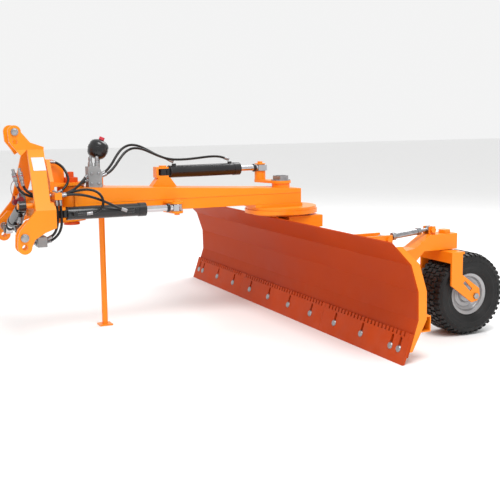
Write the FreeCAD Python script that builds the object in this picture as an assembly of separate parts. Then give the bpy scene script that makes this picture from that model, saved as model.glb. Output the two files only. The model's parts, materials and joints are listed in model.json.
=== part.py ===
"""Rear grading and snow blade for a tractor's three-point linkage, with one gauge wheel.

All sizes are in millimetres. The model is laid out from the king pin, the vertical axis that the
blade turns about: +X runs rearwards along the beam, +Y to the machine's right-hand side and +Z up,
with the ground at zero. save() moves every piece forward by KING_X, so that the origin of the
finished part lies on the ground under the middle of the machine.
"""

import FreeCAD, Part
import math
import os

V = FreeCAD.Vector
X_AXIS = V(1, 0, 0)
Y_AXIS = V(0, 1, 0)
Z_AXIS = V(0, 0, 1)

# ---- clearances and fits -------------------------------------------------------------------
RUNNING_FIT = 0.05          # radial, a pin or shaft that turns in its bore
PLATE_GAP = 0.5             # between flat faces that turn on each other
SIDE_GAP = 2.0              # each side of an eye between two lugs

# ---- blade -----------------------------------------------------------------------------------
BLADE_LENGTH = 2750.0
BLADE_HEIGHT = 604.0
BLADE_SHEET = 8.0
BLADE_SETBACK = 47.0        # cutting edge's tip ahead of the king pin
RAKE_DEG = 18.0             # lower facet leans back by this much
LOWER_FACET = 232.0         # length of the lower facet up to the first bend
MIDDLE_RISE = 139.0         # height of the nearly upright facet
MIDDLE_LEAN = -3.0          # and how far it comes forward
UPPER_RISE = 134.0
UPPER_LEAN = -44.0
CREST_LEAN = -112.0         # the top facet comes this far forward
EDGE_HEIGHT = 160.0
EDGE_THICK = 14.0
EDGE_OVERHANG = 42.0        # cutting edge below the moldboard's lower end, along the facet
EDGE_SEAMS = (0.3, 0.7)     # joints between the three edge segments, as shares of the length
SEAM_GAP = 1.0
NOTCH_PITCH = 33.0
NOTCH_WIDTH = 13.0
NOTCH_DEPTH = 22.0
BOLT_PITCH = 275.0
BOLT_RADIUS = 9.5
BOLT_HEAD_RADIUS = 19.0
BOLT_HEAD_RISE = 6.0
BOLT_NUT_RADIUS = 16.0
BOLT_NUT_HEIGHT = 15.0
BOLT_UP_EDGE = 72.0         # bolt line above the edge's tip, along the facet
SLOT_LENGTH = 70.0
END_BOLT_INSET = 66.0       # the outer bolt of each end pair
RIB_THICK = 10.0
RIB_DEPTH = 48.0
STIFFENER_SIZE = 80.0
STIFFENER_WALL = 6.0
STIFFENER_HEIGHT = 190.0

# ---- turntable and crank ----------------------------------------------------------------------
DISC_RADIUS = 216.0
LOWER_DISC_RADIUS = 222.0
DISC_THICK = 16.0
LOWER_DISC_THICK = 24.0
LOWER_DISC_BOTTOM = 624.0
KING_RADIUS = 35.0
KING_BUSH_WALL = 20.0
SUPPORT_HALF_WIDTH = 185.0
SUPPORT_REACH = 190.0       # support box behind the king pin
SUPPORT_HEIGHT = 84.0
SUPPORT_WALL = 12.0
CRANK_THICK = 16.0
CRANK_PIN_X = -70.0
CRANK_PIN_Y = 145.0
CRANK_HUB_RADIUS = 62.0
CRANK_EYE_RADIUS = 36.0

# ---- beam --------------------------------------------------------------------------------------
BEAM_WIDTH = 180.0
BEAM_WALL = 8.0
BEAM_BOTTOM = 683.0
BEAM_SEAM = 745.0           # weld line between the two folded channels
BEAM_REAR_TOP = 770.0
BEAM_FRONT_TOP = 833.0
BEAM_REAR_END = 93.0
BEAM_END_PLATE = 17.0       # thicker sole under the rear end
BEAM_END_LENGTH = 309.0
SWING_X = -1300.0           # vertical axis that the beam swings about
SWING_BOSS_RADIUS = 74.0
SWING_PIN_RADIUS = 32.0

# ---- hitch frame ---------------------------------------------------------------------------------
PLATE_THICK = 20.0
EAR_Y = 72.0                # outer face of each upper ear
LUG_Y = 340.0               # outer face of each lower lug
UPPER_BEND_Z = 1042.0
LOWER_BEND_Z = 742.0
TOP_PIN_X = -1603.0
TOP_PIN_Z = 1137.0
TOP_BORE_DROP = 52.0
TOP_BORE_RADIUS = 12.8
TOP_PIN_RADIUS = 12.6
EAR_RADIUS = 34.0
LOW_PIN_X = -1626.0
LOW_PIN_Z = 608.0
LOW_BORE_DROP = 49.0
LOW_BORE_RADIUS = 14.3
LOW_PIN_RADIUS = 14.1
LUG_GAP = 42.0              # room for the lower link's ball
LUG_RADIUS = 36.0
CROSS_FRONT_X = -1550.0
CROSS_REAR_X = -1478.0
CROSS_THICK = 18.0
CROSS_BOTTOM = 690.0
CROSS_TOP = 776.0

# ---- tilt axis and tilt head -----------------------------------------------------------------------
TILT_Z = 755.0
TILT_SHAFT_RADIUS = 45.0
TILT_HOUSING_RADIUS = 68.0
TILT_PLATE_X = -1440.0
TILT_PLATE_THICK = 22.0
YOKE_THICK = 15.0
YOKE_GAP = 5.0
YOKE_WIDTH = 250.0
YOKE_NOSE_RADIUS = 78.0
GUARD_RADIUS = 84.0
GUARD_THICK = 12.0
SWING_PIN_HEAD = 34.0

# ---- hydraulic cylinders ---------------------------------------------------------------------------
ROD_RADIUS = 18.0
CYL_PIN_RADIUS = 15.0
BARREL_WALL = 7.0
PISTON_GAP = 0.3
TURN_BARREL_RADIUS = 36.0
TURN_BASE_X = -740.0
TURN_BASE_Y = 60.0
TURN_Z = 890.0
TURN_OFFSET = (3.6, -7.8)   # rest offset of the open rod eye from the crank's pin
TURN_EYE_CLEARANCE = 9.2    # radial, the pivot where the closed linkage is opened
SWING_BARREL_RADIUS = 35.0
SWING_BASE_X = -1411.0
SWING_BASE_Y = -200.0
SWING_END_X = -750.0
SWING_END_Y = -190.0
SWING_CYL_Z = 706.0
SWING_OFFSET = (-1.6, -2.25)
SWING_EYE_CLEARANCE = 3.3
ELBOW_REACH = 58.0          # of a port elbow's tail along the swing barrel
TILT_BARREL_RADIUS = 28.0
TILT_BASE_Y = -250.0
TILT_BASE_Z = 760.0
TILT_END_Y = 165.0
TILT_END_Z = 600.0
TILT_CYL_X = -1616.0
TILT_OFFSET = (-0.77, 0.34)
TILT_EYE_CLEARANCE = 1.4

# ---- gauge wheel -------------------------------------------------------------------------------------
TYRE_RADIUS = 228.6         # 18 x 8.50-8 turf tyre
TYRE_WIDTH = 216.0
RIM_RADIUS = 101.6
RIM_FLANGE = 12.0
WHEEL_Y = -934.0
WHEEL_X = 634.0
SWIVEL_X = 525.0
AXLE_RADIUS = 10.0
HUB_RADIUS = 32.0
FORK_INNER = 260.0
FORK_PLATE = 12.0
FORK_TOP = 476.0
FORK_DEPTH = 84.0
SWIVEL_RADIUS = 22.0
ARM_WIDTH = 100.0
ARM_WALL = 8.0
ARM_PIN_X = 90.0
ARM_PIN_Z = 430.0
ARM_PIN_RADIUS = 14.0
HEAD_BOTTOM = 480.0
HEAD_TOP = 566.0
HEAD_REAR = 575.0
ARM_KINK_X = 360.0          # the arm's underside is clear of the turning fork behind this
LINK_FRONT_X = 120.0
LINK_FRONT_Z = 560.0
LINK_REAR_X = 425.0
LINK_REAR_Z = 590.0
LINK_PIN_RADIUS = 9.5
LINK_OFFSET = (0.09, 0.45)
LINK_EYE_CLEARANCE = 0.9
LINK_BODY_RADIUS = 16.0
LINK_STUD_RADIUS = 10.0

# ---- parking stand ------------------------------------------------------------------------------------
STAND_X = -1089.0
STAND_Y = 150.0
STAND_RADIUS = 17.0
SLEEVE_RADIUS = 25.0
SLEEVE_BOTTOM = 640.0
SLEEVE_TOP = 820.0
FOOT_SIZE = 76.0
FOOT_THICK = 8.0
CLAMP_SCREW_RADIUS = 7.0
CLAMP_SCREW_Z = 664.0
CLAMP_BOSS_LENGTH = 16.0

# ---- hydraulics ----------------------------------------------------------------------------------------
HOSE_RADIUS = 7.0
VALVE_X = -1218.0
VALVE_LENGTH = 76.0
VALVE_Y = -48.0
VALVE_WIDTH = 64.0
VALVE_HEIGHT = 112.0
BALL_RADIUS = 55.0
BALL_CENTRE = (-1134.0, 15.0, 1032.0)
CLAMP_Z = 803.0
DUST_CAP_PLACES = ((-1628, -112, 770), (-1602, -130, 784))
CLAMP_REACH = 262.0         # outer face of the hose clamp from the middle plane

# ---- worked out from the values above -----------------------------------------------------------------------
FRONT_REACH = -LOW_PIN_X + LUG_RADIUS
REAR_REACH = WHEEL_X + TYRE_RADIUS
KING_X = (FRONT_REACH - REAR_REACH) / 2
DISC_BOTTOM = LOWER_DISC_BOTTOM + LOWER_DISC_THICK + PLATE_GAP
EDGE_DIRECTION = (math.sin(math.radians(RAKE_DEG)), math.cos(math.radians(RAKE_DEG)))
EDGE_NORMAL = (EDGE_DIRECTION[1], -EDGE_DIRECTION[0])
CRANK_BOTTOM = BEAM_REAR_TOP + 30.0
BOSS_BOTTOM = BEAM_BOTTOM - 15.0
BOSS_TOP = BEAM_FRONT_TOP + 5.0


# ---- shape helpers -------------------------------------------------------------------------------
def box(x0, x1, y0, y1, z0, z1):
    """Block between two corners."""
    return Part.makeBox(x1 - x0, y1 - y0, z1 - z0, V(x0, y0, z0))


def rod(start, axis, radius, length):
    """Cylinder from a start point along an axis."""
    return Part.makeCylinder(radius, length, V(*start), V(*axis))


def ring(start, axis, outer, inner, length):
    """Tube from a start point along an axis."""
    return rod(start, axis, outer, length).cut(rod(start, axis, inner, length))


def prism(points, push):
    """Closed outline through 3-D points, pushed along a vector."""
    corners = [V(*p) for p in points]
    wire = Part.makePolygon(corners + corners[:1])
    return Part.Face(wire).extrude(V(*push))


def prism_xz(points, y0, y1):
    """Outline in the XZ plane, from y0 to y1."""
    return prism([(x, y0, z) for x, z in points], (0, y1 - y0, 0))


def prism_yz(points, x0, x1):
    """Outline in the YZ plane, from x0 to x1."""
    return prism([(x0, y, z) for y, z in points], (x1 - x0, 0, 0))


def prism_xy(points, z0, z1):
    """Outline in the XY plane, from z0 to z1."""
    return prism([(x, y, z0) for x, y in points], (0, 0, z1 - z0))


def hexagon(centre, axis, flat_radius, height):
    """Hexagonal nut blank whose flats lie flat_radius from its axis."""
    reach = flat_radius / math.cos(math.pi / 6)
    corners = [V(reach * math.cos(a), reach * math.sin(a), 0)
               for a in (i * math.pi / 3 for i in range(6))]
    wire = Part.makePolygon(corners + corners[:1])
    blank = Part.Face(wire).extrude(V(0, 0, height))
    blank.Placement = FreeCAD.Placement(V(*centre), FreeCAD.Rotation(Z_AXIS, V(*axis)))
    return blank


def link_outline(a, b, radius_a, radius_b, z0, z1):
    """Flat link seen from above: two round ends joined by their common tangents."""
    first = V(a[0], a[1], 0)
    second = V(b[0], b[1], 0)
    along = second - first
    swing = math.acos((radius_a - radius_b) / along.Length)
    heading = math.atan2(along.y, along.x)
    corners = []
    for centre, radius, sign in ((first, radius_a, 1), (second, radius_b, 1),
                                 (second, radius_b, -1), (first, radius_a, -1)):
        angle = heading + sign * swing
        corners.append((centre.x + radius * math.cos(angle), centre.y + radius * math.sin(angle)))
    web = prism_xy(corners, z0, z1)
    ends = [rod((a[0], a[1], z0), (0, 0, 1), radius_a, z1 - z0),
            rod((b[0], b[1], z0), (0, 0, 1), radius_b, z1 - z0)]
    return web.multiFuse(ends).removeSplitter()


def group(solids):
    """Several separate solids kept in one node."""
    return Part.makeCompound(solids)


def both_sides(make):
    """The left-hand piece and its mirror image on the right."""
    left = make()
    right = left.mirror(V(0, 0, 0), Y_AXIS)
    return left, right


def save(name, shape):
    """Writes one node, moved from the king pin's frame to the part's own frame."""
    placed = shape.copy()
    placed.translate(V(KING_X, 0, 0))
    placed.exportStep("parts/%s.step" % name)


# ---- hoses ---------------------------------------------------------------------------------------
def hose_path(points):
    """Straight runs joined by tangent arcs as large as the runs allow, with the arcs' radii."""
    corners = [V(*p) for p in points]
    edges = []
    radii = []
    start = corners[0]
    for before, corner, after in zip(corners, corners[1:], corners[2:]):
        run_in = corner - before
        run_out = after - corner
        half_turn = run_in.getAngle(run_out) / 2
        trim = 0.45 * min(run_in.Length, run_out.Length)
        radius = trim / math.tan(half_turn)
        enter = corner - run_in.normalize() * trim
        leave = corner + run_out.normalize() * trim
        inward = (run_out - run_in).normalize()
        middle = corner + inward * (radius / math.cos(half_turn) - radius)
        edges.append(Part.LineSegment(start, enter).toShape())
        edges.append(Part.Arc(enter, middle, leave).toShape())
        radii.append(radius)
        start = leave
    edges.append(Part.LineSegment(start, corners[-1]).toShape())
    return Part.Wire(edges), radii


def hose(name, points, radius=HOSE_RADIUS):
    """Round hose along a route; prints its length, tightest arc and how well its volume agrees."""
    path, radii = hose_path(points)
    heading = V(*points[1]) - V(*points[0])
    profile = Part.Wire(Part.makeCircle(radius, V(*points[0]), heading))
    solid = path.makePipeShell([profile], True, False, 2)
    expected = math.pi * radius ** 2 * path.Length
    print("%-18s length %6.0f  tightest %5.0f  volume/expected %.4f"
          % (name, path.Length, min(radii), solid.Volume / expected))
    return solid


# Routes of the hoses, in the king pin's frame.
SUPPLY_FRONT_1 = [(-1612, -98, 880), (-1606, -104, 847), (-1586, -115, 819), (-1555, -130, 802),
                  (-1519, -146, 797), (-1483, -156, 800), (-1450, -160, 803)]
SUPPLY_FRONT_2 = [(-1586, -124, 884), (-1581, -128, 852), (-1563, -138, 825), (-1534, -152, 808),
                  (-1504, -168, 802), (-1477, -178, 802), (-1450, -182, 804)]
SUPPLY_REAR_1 = [(-1407, -160, 803), (-1376, -160, 806), (-1343, -156, 815), (-1312, -146, 830),
                 (-1284, -130, 847), (-1254, -104, 862), (-1224, -76, 869)]
SUPPLY_REAR_2 = [(-1407, -182, 803), (-1375, -182, 809), (-1341, -176, 821), (-1309, -162, 837),
                 (-1280, -140, 856), (-1250, -106, 878), (-1224, -74, 892)]
TURN_1 = [(-1139, -36, 894), (-1108, -34, 908), (-1072, -28, 946), (-1040, -16, 992),
          (-1004, -2, 1032), (-954, 14, 1054), (-894, 30, 1048), (-834, 44, 1020),
          (-776, 56, 990), (-718, 64, 968), (-674, 68, 948)]
TURN_2 = [(-1139, -60, 888), (-1104, -58, 898), (-1064, -50, 930), (-1028, -36, 974),
          (-990, -20, 1014), (-940, -2, 1036), (-880, 16, 1030), (-816, 32, 1004),
          (-750, 46, 976), (-680, 58, 960), (-600, 68, 958), (-520, 78, 963), (-440, 88, 970),
          (-376, 98, 970), (-334, 106, 961), (-301, 110, 949)]
SWING_1 = [(-1407, -204, 803), (-1374, -206, 812), (-1336, -213, 822), (-1294, -224, 831),
           (-1252, -238, 831), (-1216, -251, 817), (-1194, -261, 788), (-1191, -266, 753),
           (-1208, -265, 722), (-1242, -260, 708), (-1279, -256, 706)]
SWING_2 = [(-1407, -226, 803), (-1372, -226, 808), (-1330, -228, 808), (-1286, -232, 802),
           (-1240, -236, 789), (-1194, -240, 771), (-1150, -246, 750), (-1106, -252, 727),
           (-1063, -256, 710)]
GUARD_HOSE = [(-1416, -30, 972), (-1391, -32, 971), (-1367, -34, 960), (-1347, -40, 941),
              (-1335, -52, 917), (-1330, -72, 896), (-1333, -96, 879), (-1343, -118, 862),
              (-1360, -133, 842), (-1382, -138, 823), (-1405, -138, 810)]
TILT_1 = [(-1438, -251, 784), (-1436, -254, 738), (-1435, -254, 690), (-1438, -248, 645),
          (-1446, -232, 613), (-1461, -212, 590), (-1481, -197, 578)]
TILT_2 = [(-1419, -251, 784), (-1417, -255, 738), (-1414, -254, 690), (-1414, -244, 646),
          (-1422, -225, 610), (-1440, -200, 580), (-1463, -180, 562), (-1481, -168, 557)]
TILT_SHORT_1 = [(-1537, -190, 575), (-1563, -192, 577), (-1587, -194, 587), (-1604, -197, 604),
                (-1614, -200, 627), (-1618, -203, 652), (-1618, -204, 676), (-1616, -202, 698)]
TILT_SHORT_2 = [(-1537, -160, 554), (-1559, -159, 554), (-1581, -151, 558), (-1599, -136, 566),
                (-1610, -116, 578), (-1615, -93, 592), (-1615, -70, 610), (-1617, -45, 630)]


# ---- blade ---------------------------------------------------------------------------------------
def facet_point(along, out):
    """Point on the lower facet: along it from the edge's tip, and out behind the edge's face."""
    x = along * EDGE_DIRECTION[0] + out * EDGE_NORMAL[0]
    z = along * EDGE_DIRECTION[1] + out * EDGE_NORMAL[1]
    return (x - BLADE_SETBACK, z)


def front_line():
    """Moldboard's front face from its lower end to its crest, as (x, z) points."""
    low = facet_point(EDGE_OVERHANG, EDGE_THICK)
    bend = facet_point(LOWER_FACET, EDGE_THICK)
    middle = (bend[0] + MIDDLE_LEAN, bend[1] + MIDDLE_RISE)
    upper = (middle[0] + UPPER_LEAN, middle[1] + UPPER_RISE)
    crest = (upper[0] + CREST_LEAN, BLADE_HEIGHT)
    return [low, bend, middle, upper, crest]


def offset_line(points, distance):
    """Same line moved to its rear side by a distance, with mitred bends."""
    moved = []
    for i, point in enumerate(points):
        ends = [points[max(i - 1, 0)], point, points[min(i + 1, len(points) - 1)]]
        normals = []
        for a, b in zip(ends, ends[1:]):
            length = math.hypot(b[0] - a[0], b[1] - a[1])
            if length:
                normals.append(((b[1] - a[1]) / length, -(b[0] - a[0]) / length))
        nx = sum(n[0] for n in normals) / len(normals)
        nz = sum(n[1] for n in normals) / len(normals)
        scale = distance / (nx * nx + nz * nz)
        moved.append((point[0] + nx * scale, point[1] + nz * scale))
    return moved


def line_x(points, z):
    """X where a line of (x, z) points, rising in z, reaches a height."""
    for (x0, z0), (x1, z1) in zip(points, points[1:]):
        if z0 <= z <= z1:
            return x0 + (x1 - x0) * (z - z0) / (z1 - z0)
    return points[0][0] if z < points[0][1] else points[-1][0]


def part_of_line(points, low, high):
    """Stretch of a rising line between two heights."""
    inner = [p for p in points if low < p[1] < high]
    return [(line_x(points, low), low)] + inner + [(line_x(points, high), high)]


FRONT_LINE = front_line()
BACK_LINE = offset_line(FRONT_LINE, BLADE_SHEET)


def bolt_offsets():
    """Bolt places along the blade, measured from its middle."""
    count = int((BLADE_LENGTH - BOLT_PITCH * 0.9) // BOLT_PITCH) + 1
    row = [(i - (count - 1) / 2) * BOLT_PITCH for i in range(count)]
    end = BLADE_LENGTH / 2 - END_BOLT_INSET
    return [-end] + row + [end]


def moldboard():
    """Folded sheet with a stiff lip bent back along its crest."""
    outline = FRONT_LINE + BACK_LINE[::-1]
    sheet = prism_xz(outline, -BLADE_LENGTH / 2, BLADE_LENGTH / 2)
    crest = FRONT_LINE[-1]
    lip = prism_xz([crest, (crest[0] + 46, crest[1] + 10), (crest[0] + 46, crest[1] + 2),
                    (BACK_LINE[-1][0] + 4, BACK_LINE[-1][1] - 3)],
                   -BLADE_LENGTH / 2, BLADE_LENGTH / 2)
    sheet = sheet.fuse(lip)
    for y in bolt_offsets():
        sheet = sheet.cut(edge_hole(y, BOLT_RADIUS + 0.5))
    return sheet.removeSplitter()


def edge_hole(y, radius):
    """Round bolt hole through the lower facet."""
    x, z = facet_point(BOLT_UP_EDGE, -30)
    return rod((x, y, z), (EDGE_NORMAL[0], 0, EDGE_NORMAL[1]), radius, 90)


def edge_slot(y):
    """Slot that lets the edge be set lower as it wears, with the bolt at its lower end."""
    width = BOLT_RADIUS + 0.5
    travel = SLOT_LENGTH - 2 * width
    low = facet_point(BOLT_UP_EDGE, -5)
    high = facet_point(BOLT_UP_EDGE + travel, -5)
    axis = (EDGE_NORMAL[0], 0, EDGE_NORMAL[1])
    depth = EDGE_THICK + 10
    across = V(0, width, 0)
    corners = [V(low[0], y, low[1]) - across, V(high[0], y, high[1]) - across,
               V(high[0], y, high[1]) + across, V(low[0], y, low[1]) + across]
    middle = Part.Face(Part.makePolygon(corners + corners[:1])).extrude(V(*axis) * depth)
    ends = [rod((p[0], y, p[1]), axis, width, depth) for p in (low, high)]
    return middle.multiFuse(ends)


def edge_segment(y0, y1):
    """One length of cutting edge: notched along its top, slotted for its bolts."""
    count = max(1, int((y1 - y0 - NOTCH_PITCH) // NOTCH_PITCH))
    first = (y0 + y1 - (count - 1) * NOTCH_PITCH) / 2
    outline = [(y0, 0), (y0, EDGE_HEIGHT)]
    for i in range(count):
        left = first + i * NOTCH_PITCH - NOTCH_WIDTH / 2
        outline += [(left, EDGE_HEIGHT), (left, EDGE_HEIGHT - NOTCH_DEPTH),
                    (left + NOTCH_WIDTH, EDGE_HEIGHT - NOTCH_DEPTH),
                    (left + NOTCH_WIDTH, EDGE_HEIGHT)]
    outline += [(y1, EDGE_HEIGHT), (y1, 0)]
    corners = []
    for y, up in outline:
        x, z = facet_point(up, 0)
        corners.append((x, y, z))
    plate = prism(corners, (EDGE_NORMAL[0] * EDGE_THICK, 0, EDGE_NORMAL[1] * EDGE_THICK))
    toe = box(-BLADE_SETBACK - 10, -BLADE_SETBACK + EDGE_THICK + 10, y0 - 1, y1 + 1, -20, 0)
    plate = plate.cut(toe)
    for y in bolt_offsets():
        if y0 < y < y1:
            plate = plate.cut(edge_slot(y))
    return plate


def cutting_edges():
    """Three segments end to end, in the order left, middle, right."""
    ends = [-0.5] + [share - 0.5 for share in EDGE_SEAMS] + [0.5]
    segments = []
    for low, high in zip(ends, ends[1:]):
        y0 = low * BLADE_LENGTH + (SEAM_GAP / 2 if low > -0.5 else 0)
        y1 = high * BLADE_LENGTH - (SEAM_GAP / 2 if high < 0.5 else 0)
        segments.append(edge_segment(y0, y1))
    return segments


def edge_bolts():
    """Domed plough bolts with their nuts behind the moldboard."""
    axis = (EDGE_NORMAL[0], 0, EDGE_NORMAL[1])
    bolts = []
    for y in bolt_offsets():
        head = facet_point(BOLT_UP_EDGE, -BOLT_HEAD_RISE)
        grip = EDGE_THICK + BLADE_SHEET
        nut = facet_point(BOLT_UP_EDGE, grip)
        shank = rod((head[0], y, head[1]), axis, BOLT_RADIUS, grip + BOLT_NUT_HEIGHT + 12)
        dome = Part.makeCone(BOLT_HEAD_RADIUS * 0.72, BOLT_HEAD_RADIUS, BOLT_HEAD_RISE,
                             V(head[0], y, head[1]), V(*axis))
        blank = hexagon((nut[0], y, nut[1]), axis, BOLT_NUT_RADIUS, BOLT_NUT_HEIGHT)
        bolts.append(shank.multiFuse([dome, blank]).removeSplitter())
    return group(bolts)


def rib(y0, depth, low, high):
    """Upright rib behind the moldboard, deepest in the middle of its height."""
    inner = part_of_line(BACK_LINE, low, high)
    shape = [(x + depth * factor, z) for (x, z), factor in zip(inner, rib_taper(len(inner)))]
    return prism_xz(inner + shape[::-1], y0, y0 + RIB_THICK)


def rib_taper(count):
    """Depth factors from the lower end of a rib to its upper end."""
    return [0.35] + [1.0] * (count - 2) + [0.7]


def blade_ribs():
    """End ribs and four inner ribs, fused with the square tube that ties them together."""
    low = STIFFENER_HEIGHT - STIFFENER_SIZE / 2
    high = STIFFENER_HEIGHT + STIFFENER_SIZE / 2
    front = max(x for x, z in part_of_line(BACK_LINE, low, high))
    half = BLADE_LENGTH / 2
    outer = box(front, front + STIFFENER_SIZE, -half + RIB_THICK, half - RIB_THICK, low, high)
    wall = STIFFENER_WALL
    inner = box(front + wall, front + STIFFENER_SIZE - wall, -half, half, low + wall, high - wall)
    tube = outer.cut(inner)
    ribs = [rib(-half, RIB_DEPTH, 60, 585), rib(half - RIB_THICK, RIB_DEPTH, 60, 585)]
    for share in (-0.42, -0.2, 0.2, 0.42):
        ribs.append(rib(share * BLADE_LENGTH, RIB_DEPTH * 1.5, 90, 560).cut(outer))
    return group([tube] + ribs)


# ---- turntable ---------------------------------------------------------------------------------------
def lower_disc():
    """Blade's half of the turntable with the king pin's seat."""
    top = LOWER_DISC_BOTTOM + LOWER_DISC_THICK
    disc = rod((0, 0, LOWER_DISC_BOTTOM), (0, 0, 1), LOWER_DISC_RADIUS, LOWER_DISC_THICK)
    disc = disc.cut(rod((0, 0, LOWER_DISC_BOTTOM - 1), (0, 0, 1), KING_RADIUS, top))
    return disc


def upper_disc():
    """Beam's half of the turntable."""
    return ring((0, 0, DISC_BOTTOM), (0, 0, 1), DISC_RADIUS, KING_RADIUS + RUNNING_FIT, DISC_THICK)


def king_pin():
    """Pin that carries the blade: flanged foot, plain journal, keyed end for the crank."""
    foot = rod((0, 0, LOWER_DISC_BOTTOM - 12), (0, 0, 1), KING_RADIUS + 20, 12)
    top = CRANK_BOTTOM + CRANK_THICK + 26
    return foot.fuse(rod((0, 0, LOWER_DISC_BOTTOM), (0, 0, 1), KING_RADIUS,
                         top - LOWER_DISC_BOTTOM))


def king_nut():
    """Castle nut on top of the crank."""
    bottom = CRANK_BOTTOM + CRANK_THICK
    washer = ring((0, 0, bottom), (0, 0, 1), 58, KING_RADIUS, 6)
    nut = hexagon((0, 0, bottom + 6), (0, 0, 1), 46, 24)
    nut = nut.cut(rod((0, 0, bottom), (0, 0, 1), KING_RADIUS, 40))
    return washer.fuse(nut)


def crank():
    """Lever keyed to the king pin, with the post and pin that the turn cylinder works on."""
    hub = (0, 0)
    end = (CRANK_PIN_X, CRANK_PIN_Y)
    lever = link_outline(hub, end, CRANK_HUB_RADIUS, CRANK_EYE_RADIUS,
                         CRANK_BOTTOM, CRANK_BOTTOM + CRANK_THICK)
    lever = lever.cut(rod((0, 0, CRANK_BOTTOM - 1), (0, 0, 1), KING_RADIUS, CRANK_THICK + 2))
    eye_half = ROD_RADIUS
    post_top = TURN_Z - eye_half - SIDE_GAP
    post = rod((end[0], end[1], CRANK_BOTTOM + CRANK_THICK), (0, 0, 1), CRANK_EYE_RADIUS - 2,
               post_top - CRANK_BOTTOM - CRANK_THICK)
    pin = rod((end[0], end[1], post_top), (0, 0, 1), CYL_PIN_RADIUS, 2 * (eye_half + SIDE_GAP))
    cover = rod((end[0], end[1], TURN_Z + eye_half + SIDE_GAP), (0, 0, 1), CRANK_EYE_RADIUS - 3, 6)
    head = hexagon((end[0], end[1], TURN_Z + eye_half + SIDE_GAP + 6), (0, 0, 1), 15, 12)
    return lever.multiFuse([post, pin, cover, head])


def blade_support():
    """Box under the turntable that carries the moldboard, open at its underside."""
    top = LOWER_DISC_BOTTOM - 12
    bottom = top - SUPPORT_HEIGHT + 12
    back = part_of_line(BACK_LINE, bottom, BLADE_HEIGHT - 12)
    lip_clear = [(back[-1][0] + 60, BLADE_HEIGHT - 12), (back[-1][0] + 60, top)]
    outline = back + lip_clear + [(SUPPORT_REACH, top), (SUPPORT_REACH, bottom)]
    wide = SUPPORT_HALF_WIDTH
    outer = prism_xz(outline, -wide, wide)
    wall = SUPPORT_WALL
    inner = box(line_x(BACK_LINE, bottom) + wall + 8, SUPPORT_REACH - wall, -wide + wall, wide - wall,
                bottom - 1, top - wall)
    shell = outer.cut(inner)
    spacer = ring((0, 0, top), (0, 0, 1), SUPPORT_HALF_WIDTH - 10, KING_RADIUS + 25, 12)
    cheeks = []
    for side in (-1, 1):
        y = side * (wide - wall / 2)
        low = bottom - 220
        gusset = part_of_line(BACK_LINE, low, bottom)
        cheeks.append(prism_xz(gusset + [(SUPPORT_REACH - 20, bottom)], y - wall / 2, y + wall / 2))
    body = shell.multiFuse([spacer] + cheeks)
    return body.cut(rod((0, 0, top - 40), (0, 0, 1), KING_RADIUS + 22, 60))


# ---- beam ------------------------------------------------------------------------------------------
def beam_top(x):
    """Height of the beam's sloping top."""
    share = (x - SWING_X) / (BEAM_REAR_END - SWING_X)
    return BEAM_FRONT_TOP + share * (BEAM_REAR_TOP - BEAM_FRONT_TOP)


def lower_channel():
    """Folded channel, open upwards, that makes the beam's lower half."""
    half = BEAM_WIDTH / 2
    wall = BEAM_WALL
    outer = box(SWING_X, BEAM_REAR_END, -half, half, BEAM_BOTTOM, BEAM_SEAM)
    inner = box(SWING_X - 1, BEAM_REAR_END - wall, -half + wall, half - wall,
                BEAM_BOTTOM + wall, BEAM_SEAM + 1)
    channel = outer.cut(inner)
    channel = channel.cut(rod((SWING_X, 0, 0), (0, 0, 1), SWING_BOSS_RADIUS, 2000))
    return channel.cut(rod((0, 0, 0), (0, 0, 1), KING_RADIUS + KING_BUSH_WALL, 2000))


def upper_channel():
    """Folded channel, open downwards, whose depth tapers towards the rear."""
    half = BEAM_WIDTH / 2
    wall = BEAM_WALL
    front = SWING_X
    rear = BEAM_REAR_END
    outer = prism_xz([(front, BEAM_SEAM), (rear, BEAM_SEAM), (rear, BEAM_REAR_TOP),
                      (front, BEAM_FRONT_TOP)], -half, half)
    inner = prism_xz([(front - 1, BEAM_SEAM - 1), (rear - wall, BEAM_SEAM - 1),
                      (rear - wall, beam_top(rear - wall) - wall),
                      (front - 1, beam_top(front - 1) - wall)], -half + wall, half - wall)
    channel = outer.cut(inner)
    channel = channel.cut(rod((SWING_X, 0, 0), (0, 0, 1), SWING_BOSS_RADIUS, 2000))
    return channel.cut(rod((0, 0, 0), (0, 0, 1), KING_RADIUS + KING_BUSH_WALL, 2000))


def beam_boss():
    """Vertical tube at the beam's front that turns on the swing pin."""
    return ring((SWING_X, 0, BOSS_BOTTOM), (0, 0, 1), SWING_BOSS_RADIUS,
                SWING_PIN_RADIUS + RUNNING_FIT, BOSS_TOP - BOSS_BOTTOM)


def beam_end():
    """Thick sole under the beam's rear end, and the bush that the king pin turns in."""
    half = BEAM_WIDTH / 2 + 6
    bottom = DISC_BOTTOM + DISC_THICK
    sole = box(BEAM_REAR_END - BEAM_END_LENGTH, BEAM_REAR_END + 6, -half, half, bottom, BEAM_BOTTOM)
    bush = rod((0, 0, bottom), (0, 0, 1), KING_RADIUS + KING_BUSH_WALL,
               CRANK_BOTTOM - PLATE_GAP - bottom)
    bore = rod((0, 0, 0), (0, 0, 1), KING_RADIUS + RUNNING_FIT, 2000)
    return sole.fuse(bush).cut(bore)


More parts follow.
